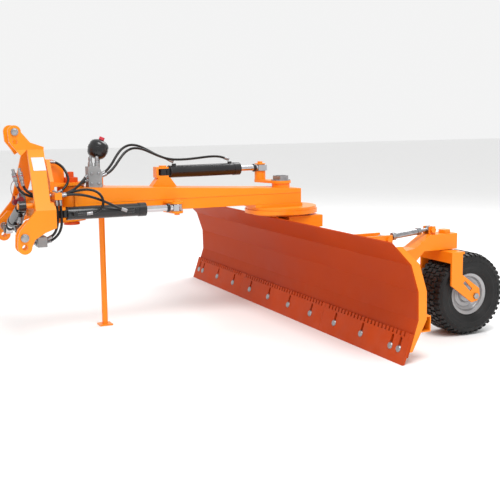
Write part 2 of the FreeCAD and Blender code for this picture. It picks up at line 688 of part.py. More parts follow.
def cylinder_brackets():
    """Base bracket of the turn cylinder on top, and the swing cylinder's rod bracket on the side."""
    x = TURN_BASE_X
    y = TURN_BASE_Y
    foot_z = beam_top(x + 75) - 2
    half = BEAM_WIDTH / 2
    reach = 30
    eye_half = ROD_RADIUS + SIDE_GAP
    saddle = prism_xz([(x - 75, beam_top(x - 75)), (x + 75, beam_top(x + 75)),
                       (x + 36, TURN_Z - eye_half - 12), (x - 36, TURN_Z - eye_half - 12)],
                      y - reach, half)
    lower_lug = box(x - 36, x + 26, y - reach, half, TURN_Z - eye_half - 12, TURN_Z - eye_half)
    upper_lug = box(x - 36, x + 26, y - reach, half, TURN_Z + eye_half, TURN_Z + eye_half + 10)
    back = box(x - 48, x - 36, y - reach, half, TURN_Z - eye_half - 12, TURN_Z + eye_half + 10)
    bore = rod((x, y, foot_z), (0, 0, 1), CYL_PIN_RADIUS, 200)
    turn = saddle.multiFuse([lower_lug, upper_lug, back]).cut(bore)
    pin = rod((x, y, TURN_Z - eye_half - 10), (0, 0, 1), CYL_PIN_RADIUS, 2 * eye_half + 20)
    head = rod((x, y, TURN_Z + eye_half + 10), (0, 0, 1), CYL_PIN_RADIUS + 7, 7)
    plates = []
    for z in (SWING_CYL_Z + eye_half, SWING_CYL_Z - eye_half - 12):
        plates.append(link_outline((SWING_END_X, -half + 40), (SWING_END_X, SWING_END_Y),
                                   52, 34, z, z + 12))
    beam_side = box(SWING_END_X - 100, SWING_END_X + 100, -half, half, 0, 2000)
    plates = [p.cut(beam_side) for p in plates]
    swing_pin_low = SWING_CYL_Z - eye_half - 22
    post = rod((SWING_END_X, SWING_END_Y, swing_pin_low), (0, 0, 1), CYL_PIN_RADIUS,
               2 * eye_half + 44)
    cap = rod((SWING_END_X, SWING_END_Y, SWING_CYL_Z + eye_half + 12), (0, 0, 1),
              CYL_PIN_RADIUS + 8, 8)
    swing = plates[0].multiFuse([plates[1], post, cap])
    return group([turn.multiFuse([pin, head]), swing])


def valve_block():
    """Valve block with two upright relief stems, bolted on the beam's top."""
    x = VALVE_X
    y = VALVE_Y
    half = VALVE_WIDTH / 2
    foot = beam_top(x)
    block = prism_xz([(x, foot), (x + VALVE_LENGTH, beam_top(x + VALVE_LENGTH)),
                      (x + VALVE_LENGTH, foot + VALVE_HEIGHT * 0.72),
                      (x + VALVE_LENGTH * 0.8, foot + VALVE_HEIGHT), (x, foot + VALVE_HEIGHT)],
                     y - half, y + half)
    stems = []
    for share in (0.28, 0.76):
        foot_x = x + VALVE_LENGTH * share
        stems.append(rod((foot_x, y, foot + VALVE_HEIGHT * 0.95), (0, 0, 1), 14, 24))
        stems.append(rod((foot_x, y, foot + VALVE_HEIGHT * 0.95), (0, 0, 1), 6, 62))
    return block.multiFuse(stems)


def on_beam(shape):
    """Trims a piece that stands on the beam to the beam's sloping top."""
    below = prism_xz([(-2000, 0), (500, 0), (500, beam_top(500)), (-2000, beam_top(-2000))],
                     -500, 500)
    return shape.cut(below)


def accumulator():
    """Gas accumulator: a ball on a short neck, tilted towards the rear."""
    centre = V(*BALL_CENTRE)
    lean = V(0.42, 0, 1).normalize()
    ball = Part.makeSphere(BALL_RADIUS, centre)
    band = rod(tuple(centre - lean * 10), tuple(lean), BALL_RADIUS + 2, 20)
    foot_z = beam_top(centre.x) - 10
    neck = rod((centre.x - 6, centre.y, foot_z), (0, 0, 1), 14, centre.z - foot_z)
    flange = rod((centre.x - 6, centre.y, foot_z), (0, 0, 1), 26, 22)
    return on_beam(ball.multiFuse([band, neck, flange]))


def accumulator_cap():
    """Charging valve's screw cap on the accumulator's crown."""
    centre = V(*BALL_CENTRE)
    lean = V(0.42, 0, 1).normalize()
    seat = centre + lean * (BALL_RADIUS + 0.2)
    return rod(tuple(seat), tuple(lean), 15, 16)


# ---- parking stand -------------------------------------------------------------------------------------
def stand_sleeve():
    """Guide tube of the parking stand and the bracket that holds it off the beam's side."""
    tube = ring((STAND_X, STAND_Y, SLEEVE_BOTTOM), (0, 0, 1), SLEEVE_RADIUS,
                STAND_RADIUS + 0.6, SLEEVE_TOP - SLEEVE_BOTTOM)
    half = BEAM_WIDTH / 2
    web = box(STAND_X - 30, STAND_X + 30, half, STAND_Y - SLEEVE_RADIUS + 6, 700, 730)
    web = web.fuse(box(STAND_X - 30, STAND_X + 30, half, STAND_Y - SLEEVE_RADIUS + 6, 765, 795))
    web = web.cut(rod((STAND_X, STAND_Y, 0), (0, 0, 1), SLEEVE_RADIUS - 1, 2000))
    boss = rod((STAND_X, STAND_Y, CLAMP_SCREW_Z), (0, 1, 0), CLAMP_SCREW_RADIUS + 7,
               SLEEVE_RADIUS + CLAMP_BOSS_LENGTH)
    hole = rod((STAND_X, STAND_Y, CLAMP_SCREW_Z), (0, 1, 0), CLAMP_SCREW_RADIUS + RUNNING_FIT, 100)
    guide = rod((STAND_X, STAND_Y, SLEEVE_BOTTOM), (0, 0, 1), STAND_RADIUS + 0.6,
                SLEEVE_TOP - SLEEVE_BOTTOM)
    return tube.multiFuse([web, boss]).cut(hole).cut(guide)


def stand_leg():
    """Tubular leg with a square foot plate."""
    top = SLEEVE_TOP + 60
    leg = ring((STAND_X, STAND_Y, FOOT_THICK), (0, 0, 1), STAND_RADIUS, STAND_RADIUS - 3.5,
               top - FOOT_THICK)
    half = FOOT_SIZE / 2
    foot = box(STAND_X - half, STAND_X + half, STAND_Y - half, STAND_Y + half, 0, FOOT_THICK)
    return leg.fuse(foot)


def stand_clamp_screw():
    """Screw with a tee bar whose tip clamps the leg in its sleeve."""
    start = STAND_Y + STAND_RADIUS + 0.4
    end = STAND_Y + SLEEVE_RADIUS + CLAMP_BOSS_LENGTH + 22
    screw = rod((STAND_X, start, CLAMP_SCREW_Z), (0, 1, 0), CLAMP_SCREW_RADIUS, end - start)
    bar = rod((STAND_X, end - 8, CLAMP_SCREW_Z - 38), (0, 0, 1), 4.5, 76)
    return screw.fuse(bar)


# ---- hitch frame -----------------------------------------------------------------------------------------
def cheek_y(z, outer=True):
    """Distance of the bent side plate from the middle plane at a height."""
    share = (UPPER_BEND_Z - z) / (UPPER_BEND_Z - LOWER_BEND_Z)
    share = min(1.0, max(0.0, share))
    return EAR_Y + share * (LUG_Y - EAR_Y) - (0 if outer else PLATE_THICK)


def lug_outline():
    """Side view of the lower lug, shared by the outer plate and the inner lug."""
    x = LOW_PIN_X
    bore_z = LOW_PIN_Z - LOW_BORE_DROP
    return [(x - 20, LOWER_BEND_Z - 97), (x - 32, LOW_PIN_Z + 8), (x - LUG_RADIUS, bore_z),
            (x + LUG_RADIUS, bore_z), (x + 53, bore_z + 36), (x + 105, bore_z + 68),
            (CROSS_REAR_X + CROSS_THICK, bore_z + 90)]


def side_plate():
    """Left side plate: upper ear, slanted middle and lower lug, bent from one sheet."""
    strip = [(-EAR_Y, 1300), (-EAR_Y, UPPER_BEND_Z), (-LUG_Y, LOWER_BEND_Z), (-LUG_Y, 400)]
    inside = [(y + PLATE_THICK, z) for y, z in strip]
    bent = prism_yz(strip + inside[::-1], -2000, -1200)
    x = TOP_PIN_X
    bore_x = x + 1
    bore_z = TOP_PIN_Z - TOP_BORE_DROP
    outline = [(x - EAR_RADIUS, TOP_PIN_Z), (bore_x - 31, bore_z), (x + 24, UPPER_BEND_Z - 30),
               (x + 62, UPPER_BEND_Z), (x + 39, LOWER_BEND_Z)] + lug_outline()
    outline += [(CROSS_REAR_X + CROSS_THICK, LOWER_BEND_Z + 18), (x + 121, LOWER_BEND_Z + 34),
                (x + 149, UPPER_BEND_Z), (x + 150, UPPER_BEND_Z + 13), (x + 79, UPPER_BEND_Z + 38),
                (x + 27, TOP_PIN_Z + 6), (x + 10, TOP_PIN_Z + EAR_RADIUS * 0.95)]
    blank = prism_xz(outline, -400, 0)
    blank = blank.fuse(rod((x, -400, TOP_PIN_Z), (0, 1, 0), EAR_RADIUS, 400))
    foot_z = LOW_PIN_Z - LOW_BORE_DROP
    blank = blank.fuse(rod((LOW_PIN_X, -400, foot_z), (0, 1, 0), LUG_RADIUS, 400))
    plate = bent.common(blank)
    bores = [rod((x, -400, TOP_PIN_Z), (0, 1, 0), TOP_BORE_RADIUS, 400),
             rod((bore_x, -400, bore_z), (0, 1, 0), TOP_BORE_RADIUS, 400),
             rod((LOW_PIN_X, -400, LOW_PIN_Z), (0, 1, 0), LOW_BORE_RADIUS, 400),
             rod((LOW_PIN_X, -400, foot_z), (0, 1, 0), LOW_BORE_RADIUS, 400)]
    for bore in bores:
        plate = plate.cut(bore)
    return plate.removeSplitter()


def inner_lug():
    """Left inner lug, parallel to the outer one; the lower link's ball goes between them."""
    y1 = -LUG_Y + PLATE_THICK + LUG_GAP + PLATE_THICK
    y0 = y1 - PLATE_THICK
    outline = lug_outline() + [(CROSS_REAR_X + CROSS_THICK, CROSS_BOTTOM),
                               (CROSS_FRONT_X - 50, CROSS_BOTTOM)]
    foot_z = LOW_PIN_Z - LOW_BORE_DROP
    lug = prism_xz(outline, y0, y1)
    lug = lug.fuse(rod((LOW_PIN_X, y0, foot_z), (0, 1, 0), LUG_RADIUS, PLATE_THICK))
    for z in (LOW_PIN_Z, foot_z):
        lug = lug.cut(rod((LOW_PIN_X, y0 - 1, z), (0, 1, 0), LOW_BORE_RADIUS, PLATE_THICK + 2))
    return lug


def cross_plates():
    """Two cross plates between the side plates, the ear spacer and the tilt cylinder's lug."""
    inner = cheek_y(LOWER_BEND_Z, False)
    narrow = cheek_y(CROSS_TOP, False)
    outline = [(-inner, CROSS_BOTTOM), (inner, CROSS_BOTTOM), (inner, LOWER_BEND_Z),
               (narrow, CROSS_TOP), (-narrow, CROSS_TOP), (-inner, LOWER_BEND_Z)]
    plates = []
    for x in (CROSS_FRONT_X, CROSS_REAR_X):
        plate = prism_yz(outline, x, x + CROSS_THICK)
        plates.append(plate.cut(rod((x - 1, 0, TILT_Z), (1, 0, 0), TILT_HOUSING_RADIUS,
                                    CROSS_THICK + 2)))
    ear = EAR_Y - PLATE_THICK
    spacer = box(TOP_PIN_X + 92, TOP_PIN_X + 108, -ear, ear, UPPER_BEND_Z - 8, UPPER_BEND_Z + 26)
    lug_top = TILT_BASE_Z + 30
    lug = prism_yz([(TILT_BASE_Y - 45, CROSS_BOTTOM), (TILT_BASE_Y + 30, CROSS_BOTTOM),
                    (TILT_BASE_Y + 30, lug_top), (TILT_BASE_Y - 22, lug_top)],
                   CROSS_FRONT_X - 10, CROSS_FRONT_X)
    pin = rod((TILT_CYL_X - TILT_BARREL_RADIUS + 4, TILT_BASE_Y, TILT_BASE_Z), (1, 0, 0),
              CYL_PIN_RADIUS, CROSS_FRONT_X - TILT_CYL_X + TILT_BARREL_RADIUS - 4)
    return group([plates[0].multiFuse([lug, pin]), plates[1], spacer])


def tilt_housing():
    """Bearing tube of the tilt shaft, welded through both cross plates."""
    start = CROSS_FRONT_X - 8
    length = CROSS_REAR_X + CROSS_THICK + 8 - start
    return ring((start, 0, TILT_Z), (1, 0, 0), TILT_HOUSING_RADIUS,
                TILT_SHAFT_RADIUS + RUNNING_FIT, length)


def link_pin(x, z, radius, y0, y1):
    """Headed hitch pin across a pair of lugs."""
    head = rod((x, y0 - 10, z), (0, 1, 0), radius + 7, 10)
    return rod((x, y0, z), (0, 1, 0), radius, y1 - y0 + 26).fuse(head)


def top_link_pin():
    """Pin kept in the upper pair of ear bores."""
    return link_pin(TOP_PIN_X, TOP_PIN_Z, TOP_PIN_RADIUS, -EAR_Y, EAR_Y)


def lower_link_pins():
    """Pins kept in the upper bores of the lower lugs, heads outwards."""
    left = link_pin(LOW_PIN_X, LOW_PIN_Z, LOW_PIN_RADIUS, -LUG_Y,
                    -LUG_Y + 2 * PLATE_THICK + LUG_GAP)
    return group([left, left.mirror(V(0, 0, 0), Y_AXIS)])


def linch_pins():
    """Ring clips that keep the three hitch pins in."""
    places = [(TOP_PIN_X, EAR_Y + 16, TOP_PIN_Z, TOP_PIN_RADIUS)]
    inner = LUG_Y - 2 * PLATE_THICK - LUG_GAP - 16
    places.append((LOW_PIN_X, -inner, LOW_PIN_Z, LOW_PIN_RADIUS))
    places.append((LOW_PIN_X, inner, LOW_PIN_Z, LOW_PIN_RADIUS))
    clips = []
    for x, y, z, radius in places:
        loop = Part.makeTorus(radius + 5.5, 2.5, V(x, y, z), Y_AXIS)
        clips.append(loop)
    return group(clips)


# ---- tilt head -------------------------------------------------------------------------------------------
def tilt_shaft():
    """Shaft of the tilt axis with the arm on its front end that the tilt cylinder pushes."""
    front = CROSS_FRONT_X - 8 - PLATE_GAP
    shaft = rod((front, 0, TILT_Z), (1, 0, 0), TILT_SHAFT_RADIUS, TILT_PLATE_X - front)
    thick = 14.0
    web = link_outline((0, 0), (math.hypot(TILT_END_Y, TILT_Z - TILT_END_Z), 0), 64, 32, 0, thick)
    angle = math.degrees(math.atan2(TILT_END_Z - TILT_Z, TILT_END_Y))
    web.rotate(V(0, 0, 0), Z_AXIS, angle)
    web.Placement = FreeCAD.Placement(V(front - thick, 0, TILT_Z),
                                      FreeCAD.Rotation(V(0, 1, 0), V(0, 0, 1), V(1, 0, 0), "ZXY")
                                      ).multiply(web.Placement)
    pin_start = TILT_CYL_X - ROD_RADIUS - SIDE_GAP - 6
    pin = rod((pin_start, TILT_END_Y, TILT_END_Z), (1, 0, 0), CYL_PIN_RADIUS - 3,
              front - thick - pin_start)
    washer = rod((pin_start, TILT_END_Y, TILT_END_Z), (1, 0, 0), 23, 6)
    return shaft.multiFuse([web, pin, washer])


def tilt_nut():
    """Keeper disc bolted on the front end of the tilt shaft."""
    front = CROSS_FRONT_X - 8 - PLATE_GAP - 14
    disc = rod((front - 10, 0, TILT_Z), (1, 0, 0), 50, 10)
    return disc.fuse(hexagon((front - 24, 0, TILT_Z), (1, 0, 0), 23, 14))


def tilt_plate():
    """Upright plate of the tilt head; its narrow crown carries the hose guard."""
    outline = [(-128, 650), (128, 650), (128, 872), (44, 985), (-44, 985), (-128, 872)]
    plate = prism_yz(outline, TILT_PLATE_X, TILT_PLATE_X + TILT_PLATE_THICK)
    clamp = box(TILT_PLATE_X - 8, TILT_PLATE_X + 30, -CLAMP_REACH, -127, CLAMP_Z - 18, CLAMP_Z + 18)
    return plate.fuse(clamp)


def yoke():
    """Two swing plates behind the tilt plate, the swing cylinder's lugs and the hose guard."""
    start = TILT_PLATE_X + TILT_PLATE_THICK
    low_top = BOSS_BOTTOM - YOKE_GAP
    high_bottom = BOSS_TOP + YOKE_GAP
    pieces = []
    for z in (low_top - YOKE_THICK, high_bottom):
        plate = link_outline((start, 0), (SWING_X, 0), YOKE_WIDTH / 2, YOKE_NOSE_RADIUS,
                             z, z + YOKE_THICK)
        plate = plate.cut(box(start - 400, start, -400, 400, 0, 2000))
        pieces.append(plate.cut(rod((SWING_X, 0, 0), (0, 0, 1), SWING_PIN_RADIUS, 2000)))
    eye_half = ROD_RADIUS + SIDE_GAP
    for z in (SWING_CYL_Z + eye_half, SWING_CYL_Z - eye_half - 14):
        lug = link_outline((start, -96), (SWING_BASE_X, SWING_BASE_Y), 30, 32, z, z + 14)
        lug = lug.cut(box(start - 60, start, -128, 0, 0, 2000))
        pieces.append(lug)
    pieces.append(rod((SWING_BASE_X, SWING_BASE_Y, SWING_CYL_Z - eye_half - 20), (0, 0, 1),
                      CYL_PIN_RADIUS, 2 * eye_half + 40))
    top = high_bottom + YOKE_THICK
    corner = 985 - GUARD_RADIUS
    disc = rod((start, -GUARD_THICK / 2, corner), (0, 1, 0), GUARD_RADIUS, GUARD_THICK)
    disc = disc.common(box(start, start + 200, -50, 50, corner, 1200))
    web = box(start, start + GUARD_RADIUS, -GUARD_THICK / 2, GUARD_THICK / 2, top, corner)
    pieces += [disc, web]
    body = pieces[0].multiFuse(pieces[1:])
    return body


def swing_pin():
    """Swing pin with the locking block on its head."""
    bottom = BOSS_BOTTOM - YOKE_GAP - YOKE_THICK - 16
    top = BOSS_TOP + YOKE_GAP + YOKE_THICK
    pin = rod((SWING_X, 0, bottom), (0, 0, 1), SWING_PIN_RADIUS, top - bottom)
    block = box(SWING_X - SWING_PIN_HEAD, SWING_X + SWING_PIN_HEAD, -SWING_PIN_HEAD, SWING_PIN_HEAD,
                top, top + 26)
    knob = box(SWING_X - 20, SWING_X + 16, -18, 18, top + 26, top + 56)
    foot = rod((SWING_X, 0, bottom - 8), (0, 0, 1), SWING_PIN_RADIUS + 12, 14)
    return pin.multiFuse([block, knob, foot])


# ---- hydraulic cylinders -----------------------------------------------------------------------------
def cylinder_frame(base, end, pin_axis):
    """Placement that lays a cylinder drawn along +X, with its pins along Z, from base towards end."""
    along = (V(*end) - V(*base)).normalize()
    up = V(*pin_axis)
    side = up.cross(along)
    turn = FreeCAD.Rotation(along, side, up, "XZY")
    return FreeCAD.Placement(V(*base), turn)


def barrel(radius, base_gap, reach, port_up):
    """Barrel with base eye, end cap, gland and two port bosses, drawn along +X from its pin."""
    bore = radius - BARREL_WALL
    cap = 20.0
    tube = ring((base_gap, 0, 0), (1, 0, 0), radius, bore, reach - base_gap)
    base_cap = rod((base_gap, 0, 0), (1, 0, 0), radius, cap)
    gland = ring((reach - 30, 0, 0), (1, 0, 0), radius + 2.5, ROD_RADIUS + RUNNING_FIT, 42)
    eye = rod((0, 0, -ROD_RADIUS), (0, 0, 1), CYL_PIN_RADIUS + 13, 2 * ROD_RADIUS)
    neck = box(0, base_gap + 2, -CYL_PIN_RADIUS - 6, CYL_PIN_RADIUS + 6, -ROD_RADIUS, ROD_RADIUS)
    pieces = [base_cap, gland, eye, neck]
    for along in (base_gap + 34, reach - 52):
        pieces.append(rod((along, port_up[0] * (radius - 3), port_up[1] * (radius - 3)),
                          (0, port_up[0], port_up[1]), 13, 13))
    body = tube.multiFuse(pieces)
    return body.cut(rod((0, 0, -50), (0, 0, 1), CYL_PIN_RADIUS + RUNNING_FIT, 100))


def piston_rod(radius, piston_at, reach, eye_radius, eye_bore):
    """Rod with its piston inside the barrel and its end eye, drawn along +X from the barrel's pin."""
    bore = radius - BARREL_WALL
    shaft = rod((piston_at, 0, 0), (1, 0, 0), ROD_RADIUS, reach - eye_radius * 0.6 - piston_at)
    piston = rod((piston_at, 0, 0), (1, 0, 0), bore - PISTON_GAP, 26)
    eye = rod((reach, 0, -ROD_RADIUS), (0, 0, 1), eye_radius, 2 * ROD_RADIUS)
    body = shaft.multiFuse([piston, eye])
    return body.cut(rod((reach, 0, -50), (0, 0, 1), eye_bore, 100))


def turn_cylinder():
    """Cylinder on top of the beam that turns the blade."""
    base = (TURN_BASE_X, TURN_BASE_Y, TURN_Z)
    end = (CRANK_PIN_X + TURN_OFFSET[0], CRANK_PIN_Y + TURN_OFFSET[1], TURN_Z)
    frame = cylinder_frame(base, end, (0, 0, 1))
    length = (V(*end) - V(*base)).Length
    body = barrel(TURN_BARREL_RADIUS, 40, length - 175, (0, 1))
    stick = piston_rod(TURN_BARREL_RADIUS, length - 330, length, 37,
                       CYL_PIN_RADIUS + TURN_EYE_CLEARANCE)
    body.Placement = frame
    stick.Placement = frame
    return body, stick


def port_elbow(along, heading):
    """Elbow on a side port of the swing cylinder, with its hose tail along the barrel."""
    out = -SWING_BARREL_RADIUS - 19
    block = box(along - 11, along + 11, out - 9, -SWING_BARREL_RADIUS - 8, -11, 11)
    tail = rod((along, out, 0), (heading, 0, 0), 8, ELBOW_REACH)
    return block.fuse(tail)


def swing_cylinder():
    """Cylinder beside the beam that swings it to either side."""
    base = (SWING_BASE_X, SWING_BASE_Y, SWING_CYL_Z)
    end = (SWING_END_X + SWING_OFFSET[0], SWING_END_Y + SWING_OFFSET[1], SWING_CYL_Z)
    frame = cylinder_frame(base, end, (0, 0, 1))
    length = (V(*end) - V(*base)).Length
    reach = length - 198
    body = barrel(SWING_BARREL_RADIUS, 36, reach, (-1, 0))
    body = body.multiFuse([port_elbow(36 + 34, 1), port_elbow(reach - 52, -1)])
    stick = piston_rod(SWING_BARREL_RADIUS, length - 312, length, 32,
                       CYL_PIN_RADIUS + SWING_EYE_CLEARANCE)
    body.Placement = frame
    stick.Placement = frame
    return body, stick


def tilt_cylinder():
    """Cylinder across the hitch frame that tilts the beam and blade."""
    base = (TILT_CYL_X, TILT_BASE_Y, TILT_BASE_Z)
    end = (TILT_CYL_X, TILT_END_Y + TILT_OFFSET[0], TILT_END_Z + TILT_OFFSET[1])
    frame = cylinder_frame(base, end, (-1, 0, 0))
    length = (V(*end) - V(*base)).Length
    body = barrel(TILT_BARREL_RADIUS, 32, length - 150, (1, 0))
    stick = piston_rod(TILT_BARREL_RADIUS, length - 230, length, 27,
                       CYL_PIN_RADIUS - 3 + TILT_EYE_CLEARANCE)
    body.Placement = frame
    stick.Placement = frame
    return body, stick


# ---- gauge wheel ---------------------------------------------------------------------------------------------
def wheel_bracket():
    """Pair of plates behind the blade that carry the wheel arm and the turnbuckle."""
    low = 370.0
    high = 584.0
    back = part_of_line(BACK_LINE, low, high)
    outline = back + [(LINK_FRONT_X + 24, high), (LINK_FRONT_X + 24, LINK_FRONT_Z - 30),
                      (ARM_PIN_X + 34, ARM_PIN_Z - 20), (ARM_PIN_X + 10, low)]
    plates = []
    for side in (-1, 1):
        inner = WHEEL_Y + side * (ARM_WIDTH / 2 + SIDE_GAP)
        y0, y1 = sorted((inner, inner + side * 14))
        plates.append(prism_xz(outline, y0, y1))
    arm_pin = rod((ARM_PIN_X, WHEEL_Y - 78, ARM_PIN_Z), (0, 1, 0), ARM_PIN_RADIUS, 156)
    arm_head = hexagon((ARM_PIN_X, WHEEL_Y - 84, ARM_PIN_Z), (0, 1, 0), 20, 14)
    link_pin_ = rod((LINK_FRONT_X, WHEEL_Y - 76, LINK_FRONT_Z), (0, 1, 0), LINK_PIN_RADIUS, 152)
    link_head = hexagon((LINK_FRONT_X, WHEEL_Y - 80, LINK_FRONT_Z), (0, 1, 0), 14, 12)
    return plates[0].multiFuse([plates[1], arm_pin, arm_head, link_pin_, link_head])


def wheel_arm():
    """Box arm from the blade's back up to the swivel head, with the turnbuckle's rear lugs."""
    half = ARM_WIDTH / 2
    outline = [(ARM_PIN_X - 26, ARM_PIN_Z - 34), (290, 414), (ARM_KINK_X, HEAD_BOTTOM),
               (HEAD_REAR, HEAD_BOTTOM), (HEAD_REAR, HEAD_TOP), (404, HEAD_TOP), (300, 500),
               (ARM_PIN_X - 26, ARM_PIN_Z + 32)]
    solid = prism_xz(outline, WHEEL_Y - half, WHEEL_Y + half)
    wall = ARM_WALL
    hollow = prism_xz([(ARM_PIN_X + 40, ARM_PIN_Z - 18), (287, 424),
                       (ARM_KINK_X - 4, HEAD_BOTTOM + wall),
                       (HEAD_REAR - wall, HEAD_BOTTOM + wall), (HEAD_REAR - wall, HEAD_TOP - wall),
                       (408, HEAD_TOP - wall), (302, 490), (ARM_PIN_X + 40, ARM_PIN_Z + 22)],
                      WHEEL_Y - half + wall, WHEEL_Y + half - wall)
    arm = solid.cut(hollow)
    bush = rod((SWIVEL_X, WHEEL_Y, HEAD_BOTTOM), (0, 0, 1), SWIVEL_RADIUS + 12,
               HEAD_TOP - HEAD_BOTTOM)
    arm = arm.fuse(bush)
    arm = arm.cut(rod((SWIVEL_X, WHEEL_Y, HEAD_BOTTOM - 1), (0, 0, 1),
                      SWIVEL_RADIUS + RUNNING_FIT, HEAD_TOP - HEAD_BOTTOM + 2))
    arm = arm.cut(rod((ARM_PIN_X, WHEEL_Y - 90, ARM_PIN_Z), (0, 1, 0),
                      ARM_PIN_RADIUS + RUNNING_FIT, 180))
    lugs = []
    for side in (-1, 1):
        inner = WHEEL_Y + side * (LINK_BODY_RADIUS + SIDE_GAP)
        y0, y1 = sorted((inner, inner + side * 10))
        lugs.append(box(LINK_REAR_X - 20, LINK_REAR_X + 20, y0, y1, HEAD_TOP - 2, LINK_REAR_Z + 18))
    pin_half = LINK_BODY_RADIUS + SIDE_GAP + 14
    pin = rod((LINK_REAR_X, WHEEL_Y - pin_half, LINK_REAR_Z), (0, 1, 0), LINK_PIN_RADIUS,
              2 * pin_half)
    head = hexagon((LINK_REAR_X, WHEEL_Y - pin_half - 10, LINK_REAR_Z), (0, 1, 0), 14, 10)
    return arm.multiFuse(lugs + [pin, head])


def turnbuckle():
    """Front eye, sleeve and rear eye of the turnbuckle that sets the wheel's height."""
    base = V(LINK_FRONT_X, WHEEL_Y, LINK_FRONT_Z)
    end = V(LINK_REAR_X + LINK_OFFSET[0], WHEEL_Y, LINK_REAR_Z + LINK_OFFSET[1])
    frame = cylinder_frame(tuple(base), tuple(end), (0, -1, 0))
    length = (end - base).Length
    eye_radius = LINK_PIN_RADIUS + 10
    thick = LINK_BODY_RADIUS
    front = rod((0, 0, -thick), (0, 0, 1), eye_radius, 2 * thick)
    front = front.fuse(rod((eye_radius * 0.6, 0, 0), (1, 0, 0), LINK_STUD_RADIUS, 92))
    front = front.cut(rod((0, 0, -50), (0, 0, 1), LINK_PIN_RADIUS + RUNNING_FIT, 100))
    rear = rod((length, 0, -thick), (0, 0, 1), eye_radius, 2 * thick)
    rear = rear.fuse(rod((length - 112, 0, 0), (1, 0, 0), LINK_STUD_RADIUS,
                         112 - eye_radius * 0.6))
    rear = rear.cut(rod((length, 0, -50), (0, 0, 1), LINK_PIN_RADIUS + LINK_EYE_CLEARANCE, 100))
    start = 64.0
    sleeve = ring((start, 0, 0), (1, 0, 0), LINK_BODY_RADIUS, LINK_STUD_RADIUS + RUNNING_FIT,
                  length - 2 * start)
    for at in (start, length - start - 18):
        nut = hexagon((at, 0, 0), (1, 0, 0), LINK_BODY_RADIUS + 3, 18)
        sleeve = sleeve.fuse(nut.cut(rod((at - 1, 0, 0), (1, 0, 0), LINK_STUD_RADIUS + 4, 20)))
    for piece in (front, sleeve, rear):
        piece.Placement = frame
    return front, sleeve, rear


def fork():
    """Trailing fork: folded crown, two cranked legs with their slots, and the swivel stem."""
    half = FORK_INNER / 2
    front = SWIVEL_X - 53
    top = FORK_TOP
    crown = box(front, front + FORK_DEPTH, WHEEL_Y - half - FORK_PLATE, WHEEL_Y + half + FORK_PLATE,
                top - FORK_PLATE, top)
    apron = box(front, front + 10, WHEEL_Y - half, WHEEL_Y + half, top - 60, top)
    axle_z = TYRE_RADIUS
    leg = [(front, top), (front + 72, top), (front + 72, 352), (WHEEL_X + 26, 268),
           (WHEEL_X + 30, axle_z - 2), (WHEEL_X + 14, axle_z - 28), (WHEEL_X - 24, axle_z - 34),
           (front, 296)]
    pieces = [apron]
    slot_x = WHEEL_X - 52
    slot_z = axle_z + 58
    for side in (-1, 1):
        inner = WHEEL_Y + side * half
        y0, y1 = sorted((inner, inner + side * FORK_PLATE))
        plate = prism_xz(leg, y0, y1)
        slot = [(slot_x - 32, slot_z + 18), (slot_x - 18, slot_z + 32), (slot_x + 32, slot_z - 18),
                (slot_x + 18, slot_z - 32)]
        pieces.append(plate.cut(prism_xz(slot, y0 - 1, y1 + 1)))
    body = crown.multiFuse(pieces)
    for side in (-1, 1):
        start = WHEEL_Y + side * half - side * 5
        body = body.cut(rod((WHEEL_X, start - 30, axle_z), (0, 1, 0), AXLE_RADIUS, 60))
    stem = rod((SWIVEL_X, WHEEL_Y, top - 4), (0, 0, 1), SWIVEL_RADIUS, HEAD_TOP + 22 - top)
    collar = rod((SWIVEL_X, WHEEL_Y, top), (0, 0, 1), SWIVEL_RADIUS + 14,
                 HEAD_BOTTOM - PLATE_GAP - top)
    nut = hexagon((SWIVEL_X, WHEEL_Y, HEAD_TOP + PLATE_GAP), (0, 0, 1), 30, 18)
    return body.multiFuse([stem, collar, nut])


def axle():
    """Axle bolt across the fork with its head and nut."""
    half = FORK_INNER / 2 + FORK_PLATE
    bolt = rod((WHEEL_X, WHEEL_Y - half - 12, TYRE_RADIUS), (0, 1, 0), AXLE_RADIUS, 2 * half + 28)
    head = hexagon((WHEEL_X, WHEEL_Y - half - 12, TYRE_RADIUS), (0, 1, 0), 15, 12)
    nut = hexagon((WHEEL_X, WHEEL_Y + half, TYRE_RADIUS), (0, 1, 0), 15, 14)
    return bolt.multiFuse([head, nut])


def turned(profile, y_centre):
    """Solid of revolution about the wheel's axle, from (radius, y) points."""
    corners = [V(WHEEL_X, y_centre + y, TYRE_RADIUS + r) for r, y in profile]
    wire = Part.makePolygon(corners + corners[:1])
    return Part.Face(wire).revolve(V(WHEEL_X, y_centre, TYRE_RADIUS), Y_AXIS, 360)


def rim():
    """Pressed steel rim with a dished disc and a hub tube on the axle."""
    half = TYRE_WIDTH / 2 - 18
    flange = RIM_RADIUS + RIM_FLANGE
    bead = RIM_RADIUS
    shell = [(flange, -half), (flange, -half + 6), (bead, -half + 14), (bead - 4, -half + 30),
             (bead - 24, -half + 52), (bead - 24, half - 52), (bead - 4, half - 30),
             (bead, half - 14), (flange, half - 6), (flange, half), (bead + 6, half),
             (bead - 6, half - 16), (bead - 10, half - 33), (bead - 30, half - 54),
             (bead - 30, -half + 54), (bead - 10, -half + 33), (bead - 6, -half + 16),
             (bead + 6, -half)]
    disc = [(HUB_RADIUS - 4, -34), (52, -28), (bead - 27, -20), (bead - 27, -12), (52, -20),
            (HUB_RADIUS - 4, -26)]
    hub_half = FORK_INNER / 2 - 6
    hub = ring((WHEEL_X, WHEEL_Y - hub_half, TYRE_RADIUS), (0, 1, 0), HUB_RADIUS,
               AXLE_RADIUS + RUNNING_FIT, 2 * hub_half)
    return turned(shell, WHEEL_Y).multiFuse([turned(disc, WHEEL_Y), hub])


